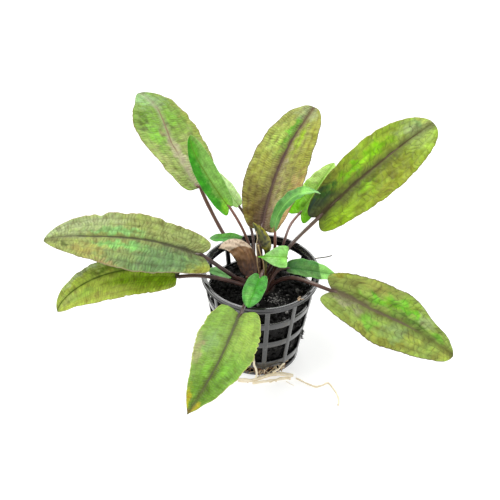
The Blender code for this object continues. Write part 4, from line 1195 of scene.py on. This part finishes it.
class CRYPT_OT_pot(bpy.types.Operator):
    """Net pot: stepped rim, bands and upright ribs with rounded edges, and a slotted floor"""
    bl_idname = "crypt.pot"
    bl_label = "Pot"

    def execute(self, context):
        settings = context.scene.crypt_pot
        piece = Piece()
        top = settings.height / MM
        rim = settings.rim_radius / MM
        lip = top - LIP_HEIGHT
        inner = WALL_TOP_RADIUS - 0.1
        piece.add(*turned(rounded_loop((
            (inner, top), (rim, top), (rim, top - 0.7), (rim - 0.35, top - 1.0), (rim - 0.35, lip + 0.7),
            (rim - 0.05, lip + 0.4), (rim - 0.05, lip), (WALL_TOP_RADIUS, lip),
            (WALL_TOP_RADIUS, COLLAR_LOW), (WALL_TOP_RADIUS - WALL, COLLAR_LOW),
            (WALL_TOP_RADIUS - WALL, top - 1.2), (inner, top - 1.2)), 0.35)))
        for low, high in BANDS:
            out_low, out_high = wall_radius(low), wall_radius(high)
            piece.add(*turned(rounded_loop((
                (out_low, low), (out_low - WALL, low), (out_high - WALL, high), (out_high, high)), 0.3)))
        foot = WALL_FOOT_RADIUS
        piece.add(*turned(rounded_loop((
            (foot, 0.0), (foot - LEDGE, 0.0), (foot - LEDGE, WALL), (foot - WALL, WALL),
            (foot - WALL, FOOT_RIM), (foot, FOOT_RIM)), 0.3)))
        hub = rounded_loop(((0.01, 0.0), (HUB_RADIUS, 0.0), (HUB_RADIUS, WALL), (0.01, WALL)), 0.2)
        piece.add(*turned(hub, 60))
        self.add_spokes(piece, HUB_RADIUS - 0.6, foot - LEDGE + 0.7)
        self.add_ribs(piece, settings)
        piece.build("pot", [plastic_material(settings, shared_groups())], "pot", 50)
        return {"FINISHED"}

    def add_ribs(self, piece, settings):
        """Each rib is a rounded bar that follows the wall from the foot to the rim."""
        heights = np.linspace(RIB_LOW, RIB_HIGH, 40)
        outer = wall_radius(heights) + RIB_PROUD
        half = settings.rib_width / MM / 2
        section = rounded_loop(((-RIB_PROUD, -half), (0.06, -0.4 * half), (0.06, 0.4 * half),
                                (-RIB_PROUD, half), (-WALL, half * 0.85), (-WALL, -half * 0.85)), 0.4)
        for i in range(settings.ribs):
            out, along = round_axis(math.radians(RIB_TURN) + TAU * i / settings.ribs)
            rings = (outer[:, None, None] + section[None, :, :1]) * out + section[None, :, 1:] * along
            rings = rings + heights[:, None, None] * np.array((0, 0, 1.0))
            piece.add(*with_ends(rings, rings[0].mean(0), rings[-1].mean(0)))

    def add_spokes(self, piece, low, high):
        """Flat bars between the slots of the floor."""
        reach = np.linspace(low, high, 8)
        half = 0.5 * (TAU * reach / FLOOR_SLOTS - SLOT_WIDTH)
        corners = np.array(((-1, 0.0), (1, 0.0), (1, WALL - 0.05), (-1, WALL - 0.05)))
        for i in range(FLOOR_SLOTS):
            out, along = round_axis(TAU * (i + 0.5) / FLOOR_SLOTS)
            rings = (reach[:, None, None] * out + half[:, None, None] * corners[None, :, :1] * along
                     + corners[None, :, 1:] * np.array((0, 0, 1.0)))
            piece.add(*with_ends(rings, rings[0].mean(0), rings[-1].mean(0)))


class CRYPT_OT_fill(bpy.types.Operator):
    """Fill: a lumpy plug inside the wall, with loose crumbs on top and in the windows"""
    bl_idname = "crypt.fill"
    bl_label = "Fill"

    def execute(self, context):
        settings = context.scene.crypt_fill
        material = fill_material(settings, shared_groups())
        piece = Piece()
        piece.add(*self.plug(), 0, tone("141312"))
        piece.build("fill_plug", [material], "growing_medium")
        crumbs = Piece()
        self.add_crumbs(crumbs, settings)
        crumbs.build("fill_crumbs", [material], None)
        return {"FINISHED"}

    def lumps(self, points):
        """Lumps of the fill's surface, the same for the plug and for the crumbs on it."""
        return soft_noise(points, 4.2, 5, 3)

    def plug(self):
        """Turned outline from the middle of the top to the middle of the floor, roughened by noise."""
        high, low = FILL_HIGH.z / MM, FILL_LOW.z / MM
        top = high - FILL_EDGE_DROP
        side = np.linspace(top, FILL_FOOT, 60)
        radius = np.concatenate([np.linspace(0.01, wall_radius(top) - FILL_GAP, 40),
                                 wall_radius(side) - FILL_GAP,
                                 np.linspace(WALL_FOOT_RADIUS - FILL_GAP, 0.01, 14)])
        height = np.concatenate([np.linspace(high, top, 40), side, np.full(14, low)])
        points = lathe(radius, height, 150)
        lumps = self.lumps(points)
        on_top = np.linspace(0, 1, len(radius))[:, None] < 0.34
        points[..., 2] += np.where(on_top, TOP_LUMPS * lumps, 0.0)
        outward = points * np.array((1, 1, 0)) / np.maximum(radius, 1e-6)[:, None, None]
        points += outward * np.where(on_top, 0.0, SIDE_LUMPS * lumps)[..., None]
        return with_ends(points, (0, 0, points[0, :, 2].mean()), (0, 0, low))

    def add_crumbs(self, piece, settings):
        """Crumbs: a ball of few faces, stretched and dented at random, laid over the top and the windows."""
        rng = np.random.default_rng(3)
        ball = bmesh.new()
        bmesh.ops.create_icosphere(ball, subdivisions=1, radius=1.0)
        shape = np.array([v.co[:] for v in ball.verts])
        faces = np.array([[v.index for v in f.verts] for f in ball.faces])
        ball.free()
        count = settings.crumbs
        on_top = np.arange(count) < count * TOP_SHARE_OF_CRUMBS
        turn = rng.uniform(0, TAU, count)
        reach = np.sqrt(rng.uniform(0.0, 1.0, count)) * 22.6
        depth = rng.uniform(3.5, 35.0, count)
        radius = np.where(on_top, reach, wall_radius(depth) - 1.5)
        z = np.where(on_top, FILL_HIGH.z / MM + 0.1 - 1.2 * (reach / 23.0) ** 2, depth)
        place = np.stack([radius * np.cos(turn), radius * np.sin(turn), z], -1)
        place[:, 2] += np.where(on_top, TOP_LUMPS * self.lumps(place), 0.0)
        size = settings.crumb_size / MM * rng.uniform(0.5, 1.9, count) ** 1.2
        dents = 1 + 0.28 * rng.normal(size=(count, len(shape), 1))
        stretch = rng.uniform(0.6, 1.3, (count, 1, 3))
        points = place[:, None] + shape[None] * stretch * dents * size[:, None, None]
        blocks = faces[None] + (np.arange(count) * len(shape))[:, None, None]
        grey = (0.002 + 0.05 * rng.uniform(0, 1, (count, 1, 1)) ** 4
                + 0.22 * (rng.uniform(0, 1, (count, 1, 1)) > 0.975)) * np.array((1.0, 0.97, 0.93))
        piece.add(points, [blocks.reshape(-1, 3)], 0, np.broadcast_to(grey, points.shape))


class CRYPT_OT_crown(bpy.types.Operator):
    """Crown: a knobbly rhizome with the short red-brown feet of old stalks"""
    bl_idname = "crypt.crown"
    bl_label = "Crown"

    def execute(self, context):
        piece = Piece()
        low = CROWN_LOW.z / MM
        radius = np.linspace(0.01, CROWN_RADIUS, 24)
        dome = low + CROWN_DOME * np.sqrt(np.clip(1 - (radius / CROWN_RADIUS) ** 2, 0, 1)) ** 0.8
        points = lathe(radius, dome, 90) + (0, CROWN_Y, 0)
        points[..., 2] += 0.35 * soft_noise(points, 2.6, 8, 3)
        floor = points[-1].copy()
        floor[:, 2] = low - CROWN_DEPTH
        rings = np.vstack([points, floor[None]])
        piece.add(*with_ends(rings, points[0].mean(0), (0, CROWN_Y, low - CROWN_DEPTH)), 0, tone("2c1e16"))
        skin = skin_material("rhizome_skin", shared_groups(), tone("241a12"), 400.0, 0.8, 0.8)
        piece.build("crown", [skin], "crown")
        self.build_stubs()
        return {"FINISHED"}

    def build_stubs(self):
        """Feet of shed stalks and young shoots that stand between the leaves."""
        rng = np.random.default_rng(19)
        piece = Piece()
        red, pale = np.array(tone("6b3a2c")), np.array(tone("a8845f"))
        for i in range(STUBS):
            angle = rng.uniform(-1.2, 1.9)
            reach = rng.uniform(1.0, 5.6)
            foot = np.array((reach * math.cos(angle), CROWN_Y + reach * math.sin(angle), 38.0))
            lean = np.array((math.cos(angle), math.sin(angle), 0)) * rng.uniform(0.3, 2.2)
            top = foot + lean + np.array((0, 0, rng.uniform(3.0, 6.5)))
            path = flowing((foot, (foot + top) / 2 + lean * 0.2, top), 12)
            points, faces = tube(path, np.linspace(0.75, 0.3, 12), 8, (1, 0.3, 0))
            piece.add(points, faces, 0, red + (pale - red) * rng.uniform(0, 0.7))
        skin = stalk_material("stub_skin", shared_groups())
        piece.build("crown_stubs", [skin], None)


def build_leaf(name, leaf, settings, groups, young):
    """One leaf as one piece: its blade and its stalk."""
    look = LOOKS[name]
    piece = Piece()
    rows, columns = (90, 33) if young else (230, 65)
    add_blade(piece, leaf, look, settings.thickness / MM, rows, columns)
    radius = settings.young_stalk_radius if young else settings.stalk_radius
    add_stalk(piece, leaf, look, radius / MM, settings, 26 if young else 40)
    skin = leaf_material(name + "_skin", settings, groups, look, young)
    stalk = bpy.data.materials.get("leaf_stalk") or stalk_material("leaf_stalk", groups)
    piece.build(name, [skin, stalk], name)


class CRYPT_OT_leaves(bpy.types.Operator):
    """Large leaves: folded blades with grooved veins and undulating margins, on slender stalks"""
    bl_idname = "crypt.leaves"
    bl_label = "Large leaves"

    def execute(self, context):
        for name, leaf in LEAVES.items():
            build_leaf(name, leaf, context.scene.crypt_leaf, shared_groups(), False)
        return {"FINISHED"}


class CRYPT_OT_young_leaves(bpy.types.Operator):
    """Young leaves: small fresh green blades near the crown"""
    bl_idname = "crypt.young_leaves"
    bl_label = "Young leaves"

    def execute(self, context):
        for name, leaf in YOUNG_LEAVES.items():
            build_leaf(name, leaf, context.scene.crypt_leaf, shared_groups(), True)
        return {"FINISHED"}


class CRYPT_OT_rolled_leaf(bpy.types.Operator):
    """Rolled leaf: a blade wound round itself, open on one side"""
    bl_idname = "crypt.rolled_leaf"
    bl_label = "Rolled leaf"

    def execute(self, context):
        settings = context.scene.crypt_leaf
        path = flowing([p for p, _ in ROLLED_LEAF], 60)
        radii = flowing([(r, r, r) for _, r in ROLLED_LEAF], 60)[:, 0]
        turn = np.linspace(0, TAU * 1.25, 40)
        ahead = unit(np.gradient(path, axis=0))
        guide = np.array((1.0, 0.0, 0.2))
        side = unit(guide - (ahead @ guide)[:, None] * ahead)
        top = np.cross(ahead, side)
        spiral = 1.0 - 0.22 * turn / turn[-1]
        reach = radii[:, None] * spiral[None, :]
        start = 2.4
        wound = path[:, None] + reach[..., None] * (
            side[:, None] * np.cos(turn + start)[None, :, None]
            + top[:, None] * np.sin(turn + start)[None, :, None])
        inner = path[:, None] + (wound - path[:, None]) * (1 - 0.3 / np.maximum(reach, 0.6))[..., None]
        skin = doubled(wound, inner)
        piece = Piece()
        piece.add(skin, sheet_faces(skin), 0, self.colours(np.array(settings.rolled), turn, len(path)))
        material = skin_material("rolled_skin", shared_groups(), tone("1c2009"), 420.0, 0.42, 0.4, 0.2)
        piece.build("rolled_leaf", [material], "rolled_leaf")
        return {"FINISHED"}

    def colours(self, olive, turn, rows):
        """Olive with a painted highlight in a stripe and a ring, a grey blotch and dark spots; both sides
        alike.
        """
        bright, grey, dark = (np.array(tone(code)) for code in ("a8a028", "5a5236", "15190a"))
        up, around = np.meshgrid(np.linspace(0, 1, rows), np.concatenate([turn, turn[::-1]]), indexing="ij")
        colour = np.broadcast_to(olive, up.shape + (3,))
        # Painted highlight: a bright stripe along one side of the roll.
        colour = mixed(colour, bright, 0.8 * np.exp(-((around - 3.6) / 0.7) ** 2))
        blotch = np.exp(-((up - 0.62) / 0.14) ** 2) * np.exp(-((around - 1.6) / 0.9) ** 2)
        colour = mixed(colour, grey, blotch)
        spots = ripple(77, 3, up * 30 / 3.4, around * 0.8)
        colour = mixed(colour, dark, 0.8 * smooth_step(spots, 0.0, 0.5))
        # Painted highlight: a bright ring low on the roll.
        return mixed(colour, bright, 0.8 * np.exp(-((up - 0.44) / 0.05) ** 2))


class CRYPT_OT_dry_leaf(bpy.types.Operator):
    """Dry leaf: a withered blade, ribbed along its length and curled at the edge"""
    bl_idname = "crypt.dry_leaf"
    bl_label = "Dry leaf"

    def execute(self, context):
        settings = context.scene.crypt_leaf
        share, side = np.meshgrid(np.linspace(0, 1, 90), np.linspace(-1, 1, 41), indexing="ij")
        points, up, across = blade(DRY_LEAF, share, side)
        along = share * DRY_LEAF["length"]
        wobble = ripple(41, 3, along / 8, across / 5)
        streaks = ripple(43, 4, across / 1.5, along / 26)
        ribs = 0.28 * streaks * np.sin(math.pi * np.clip(share, 0.04, 0.96))
        points = points + up * (ribs + 0.35 * wobble - 0.5 * side ** 2)[..., None]
        skin = doubled(points, points - up * 0.28)
        brown, pale, foot = np.array(settings.dry), np.array(tone("ccb8a0")), np.array(tone("38221a"))
        fade = smooth_step(share - 0.16 * side + 0.02 * wobble, 0.60, 0.62)
        colour = mixed(foot, 0.72 * brown, smooth_step(share + 0.05 * wobble, 0.1, 0.6))
        colour = mixed(colour, pale, fade)
        # Painted light and shade: lighter on the raised streaks of the ribs, darker in the sunken ones.
        stripe = 0.5 * smooth_step(streaks, 0.3, 1.0) - 0.6 * smooth_step(-streaks, 0.1, 0.9)
        colour = colour * (1 + stripe[..., None] * (1 - 0.7 * fade[..., None]))
        piece = Piece()
        piece.add(skin, sheet_faces(skin), 0, doubled(colour, colour))
        piece.add(*tube(stalk_path(DRY_LEAF, 16), 0.75, 10, (0.3, 1, 0)), 0, tone("5a3a26"))
        material = skin_material("dry_skin", shared_groups(), tone("6a4426"), 700.0, 0.6, 0.4)
        piece.build("dry_leaf", [material], "dry_leaf")
        return {"FINISHED"}


class CRYPT_OT_roots(bpy.types.Operator):
    """Roots: pale thick roots in front of the pot, and fine fibres in the lowest windows"""
    bl_idname = "crypt.roots"
    bl_label = "Roots"

    def execute(self, context):
        settings = context.scene.crypt_root
        groups = shared_groups()
        skin = skin_material("root_skin", groups, tone("e8d6ae"), 260.0, 0.5, 0.3, 0.15)
        cream = np.array(settings.cream)
        for number, (name, (radius, points)) in enumerate(ROOTS.items()):
            path = flowing(points, 14 * len(points))
            path = path + 0.10 * np.stack([soft_noise(path, 5.0, 60 + number + i, 2) for i in range(3)], -1)
            plump = PLUMP_FIRST_TWO if number < 2 else PLUMP
            radii = plump * radius * (1 + 0.16 * soft_noise(path, 4.0, 80 + number, 2))
            radii = radii * np.clip(np.linspace(9, 2.2, len(path)) * 0.45, 0, 1)
            path[:, 2] = np.maximum(path[:, 2], radii + 0.02)
            piece = Piece()
            shape, faces = tube(path, radii, 12, (0.15, 0.1, 1) if name != "root_loop" else (1, 0.2, 0))
            piece.add(shape, faces, 0, cream)
            piece.build(name, [skin], name)
        self.build_fibres(settings, skin)
        return {"FINISHED"}

    def build_fibres(self, settings, skin):
        """Fibres wander over the fill behind the lowest windows; at the front every second one comes out,
        hangs down over the foot rim and ends near the table. A few strands lie on the table itself."""
        rng = np.random.default_rng(23)
        piece = Piece()
        cream, brown = np.array(settings.cream), np.array(settings.brown)
        dark = np.array(tone("6a4020"))
        for i in range(FIBRES):
            front = i < FRONT_FIBRES
            turn = rng.uniform(*FRONT_TURN) if front else rng.uniform(0, TAU)
            heights = np.linspace(rng.uniform(4.0, 6.5), rng.uniform(2.2, 4.5), 5)
            turns = turn + np.linspace(0, rng.normal(0, 0.16), 5) + rng.normal(0, 0.012, 5)
            reach = wall_radius(heights) - 0.9 + rng.normal(0, 0.1, 5)
            if front and i % 2 == 0:
                heights = np.linspace(rng.uniform(4.2, 5.4), rng.uniform(0.3, 2.4), 5)
                reach = WALL_FOOT_RADIUS + np.array((-0.6, 0.2, 0.45, 0.6, rng.uniform(0.5, 1.3)))
            points = np.stack([reach * np.cos(turns), reach * np.sin(turns), heights], -1)
            path = flowing(points, 22)
            shape, faces = tube(path, rng.uniform(0.12, 0.24), 6, (math.cos(turn), math.sin(turn), 0.1))
            tint = cream + (brown - cream) * rng.uniform(0.2, 1) if rng.uniform() < 0.6 else dark
            piece.add(shape, faces, 0, tint)
        for i in range(TABLE_STRANDS):
            start = rng.uniform(-8, 15)
            x = start + np.linspace(0, rng.uniform(3, 9), 5)
            y = -20.4 - rng.uniform(0.2, 4.4) + np.cumsum(rng.normal(0, 0.5, 5))
            y = np.minimum(y, -np.sqrt(np.clip(19.9 ** 2 - x ** 2, 0, None)))
            z = 0.3 + 0.5 * np.abs(rng.normal(0, 1, 5)) * (np.arange(5) % 4 > 0)
            shape, faces = tube(flowing(np.stack([x, y, z], -1), 26), rng.uniform(0.14, 0.26), 6)
            piece.add(shape, faces, 0, cream + (brown - cream) * rng.uniform(0.0, 0.4))
        piece.build("root_fibres", [skin], None)


class CRYPT_OT_litter(bpy.types.Operator):
    """Litter: torn sheaths and pale strands at the crown, a thread at the rim and bits of peat"""
    bl_idname = "crypt.litter"
    bl_label = "Litter"

    def execute(self, context):
        groups = shared_groups()
        strands = Piece()
        for radius, colour, points in LITTER:
            shape, faces = tube(flowing(points, 8 * len(points)), radius, 8, (0.9, 0.2, 0.3))
            strands.add(shape, faces, 0, tone(colour))
        skin = skin_material("litter_skin", groups, tone("b49a78"), 420.0, 0.6, 0.4)
        strands.build("litter_strands", [skin], None)
        grit = skin_material("litter_grit", groups, tone("4c4a48"), 900.0, 0.6, 0.4)
        rng = np.random.default_rng(31)
        bits = Piece()
        for middle, spread, count, size, colour in PEAT:
            for i in range(count):
                at = np.array(middle) + rng.normal(size=3) * spread
                way = unit(rng.normal(size=3) * np.array((1, 1, 0.4)))
                path = at + way * np.linspace(-1, 1, 7)[:, None] * size * rng.uniform(0.7, 1.6)
                path = path + 0.12 * rng.normal(size=(7, 3))
                path[:, 2] = np.maximum(path[:, 2], 0.35)
                girth = size * 0.45 * np.sin(np.linspace(0.35, 2.8, 7)) * rng.uniform(0.6, 1.3)
                shape, faces = tube(flowing(path, 12), np.interp(np.linspace(0, 6, 12), range(7), girth), 7,
                                    (0.2, 0.1, 1))
                bits.add(shape, faces, 0, np.array(tone(colour)) * rng.uniform(0.6, 1.3))
        bits.build("litter_bits", [grit], None)
        return {"FINISHED"}


class CRYPT_OT_stage(bpy.types.Operator):
    """Stage: a pale floor, soft light from all round and the camera at the photo's angle"""
    bl_idname = "crypt.stage"
    bl_label = "Stage"

    def execute(self, context):
        settings = context.scene.crypt_stage
        self.add_floor(settings)
        self.add_lights(settings)
        self.add_camera(settings)
        return {"FINISHED"}

    def add_floor(self, settings):
        mesh = bpy.data.meshes.new("floor")
        half = FLOOR_HALF
        mesh.from_pydata([(-half, -half, 0), (half, -half, 0), (half, half, 0), (-half, half, 0)], [],
                         [(0, 1, 2, 3)])
        floor = add_object("floor", mesh)
        material, n, shader = new_material("floor_white")
        cloud = n.noise(n.where(), 3.0)
        n.feed(shader.inputs["Base Color"], n.mix(cloud, four(settings.floor), (0.5, 0.5, 0.5, 1)))
        shader.inputs["Roughness"].default_value = 0.6
        shader.inputs["Emission Color"].default_value = (1, 1, 1, 1)
        shader.inputs["Emission Strength"].default_value = settings.floor_glow
        mesh.materials.append(material)

    def add_lights(self, settings):
        world = bpy.data.worlds.new("sky")
        bpy.context.scene.world = world
        world.use_nodes = True
        back = world.node_tree.nodes["Background"]
        back.inputs["Color"].default_value = (1, 1, 1, 1)
        back.inputs["Strength"].default_value = settings.sky
        for name, place, size, power, tint in LIGHTS:
            light = bpy.data.lights.new(name, "AREA")
            light.energy = power
            light.size = size
            light.color = tint
            lamp = add_object(name, light)
            lamp.location = place
            aim = Vector((0, 0, LIGHT_AIM)) - Vector(place)
            lamp.rotation_euler = aim.to_track_quat("-Z", "Y").to_euler()

    def add_camera(self, settings):
        """Camera aimed at a point above the pot, from a distance, with a slight roll."""
        tilt, roll = math.radians(TILT), math.radians(ROLL)
        ahead = Vector((0, math.cos(tilt), -math.sin(tilt)))
        right, up = Vector((1, 0, 0)), Vector((0, math.sin(tilt), math.cos(tilt)))
        x = right * math.cos(roll) + up * math.sin(roll)
        y = up * math.cos(roll) - right * math.sin(roll)
        place = (Vector(TARGET) - ahead * DISTANCE) * MM
        camera = add_object("camera", bpy.data.cameras.new("camera"))
        camera.data.lens = settings.lens
        camera.data.sensor_width = 36.0
        camera.data.clip_start, camera.data.clip_end = 0.01, 20.0
        camera.matrix_world = Matrix((
            (x[0], y[0], -ahead[0], place[0]), (x[1], y[1], -ahead[1], place[1]),
            (x[2], y[2], -ahead[2], place[2]), (0, 0, 0, 1)))
        bpy.context.scene.camera = camera
        bpy.context.scene.view_settings.view_transform = "Standard"


class CRYPT_PT_panel(bpy.types.Panel):
    """Sidebar panel with one button for each group of pieces"""
    bl_idname = "CRYPT_PT_panel"
    bl_label = "Potted Cryptocoryne"
    bl_space_type = "VIEW_3D"
    bl_region_type = "UI"
    bl_category = "Crypt"

    def draw(self, context):
        for settings in SETTINGS:
            box = self.layout.box()
            group = getattr(context.scene, settings)
            for name in group.bl_rna.properties.keys():
                if name not in ("rna_type", "name"):
                    box.prop(group, name)
        for operator in OPERATORS:
            self.layout.operator(operator.bl_idname)


OPERATORS = (CRYPT_OT_pot, CRYPT_OT_fill, CRYPT_OT_crown, CRYPT_OT_leaves, CRYPT_OT_young_leaves,
             CRYPT_OT_rolled_leaf, CRYPT_OT_dry_leaf, CRYPT_OT_roots, CRYPT_OT_litter, CRYPT_OT_stage)
SETTINGS = {"crypt_pot": PotSettings, "crypt_fill": FillSettings, "crypt_leaf": LeafSettings,
            "crypt_root": RootSettings, "crypt_stage": StageSettings}


def register():
    for group in SETTINGS.values():
        bpy.utils.register_class(group)
    for name, group in SETTINGS.items():
        setattr(bpy.types.Scene, name, bpy.props.PointerProperty(type=group))
    for item in (*OPERATORS, CRYPT_PT_panel):
        bpy.utils.register_class(item)


def unregister():
    for item in reversed((*OPERATORS, CRYPT_PT_panel)):
        bpy.utils.unregister_class(item)
    for name, group in SETTINGS.items():
        delattr(bpy.types.Scene, name)
        bpy.utils.unregister_class(group)


def main():
    register()
    bpy.ops.crypt.pot()
    bpy.ops.crypt.fill()
    bpy.ops.crypt.crown()
    bpy.ops.crypt.leaves()
    bpy.ops.crypt.young_leaves()
    bpy.ops.crypt.rolled_leaf()
    bpy.ops.crypt.dry_leaf()
    bpy.ops.crypt.roots()
    bpy.ops.crypt.litter()
    bpy.ops.crypt.stage()


if __name__ == "__main__":
    main()
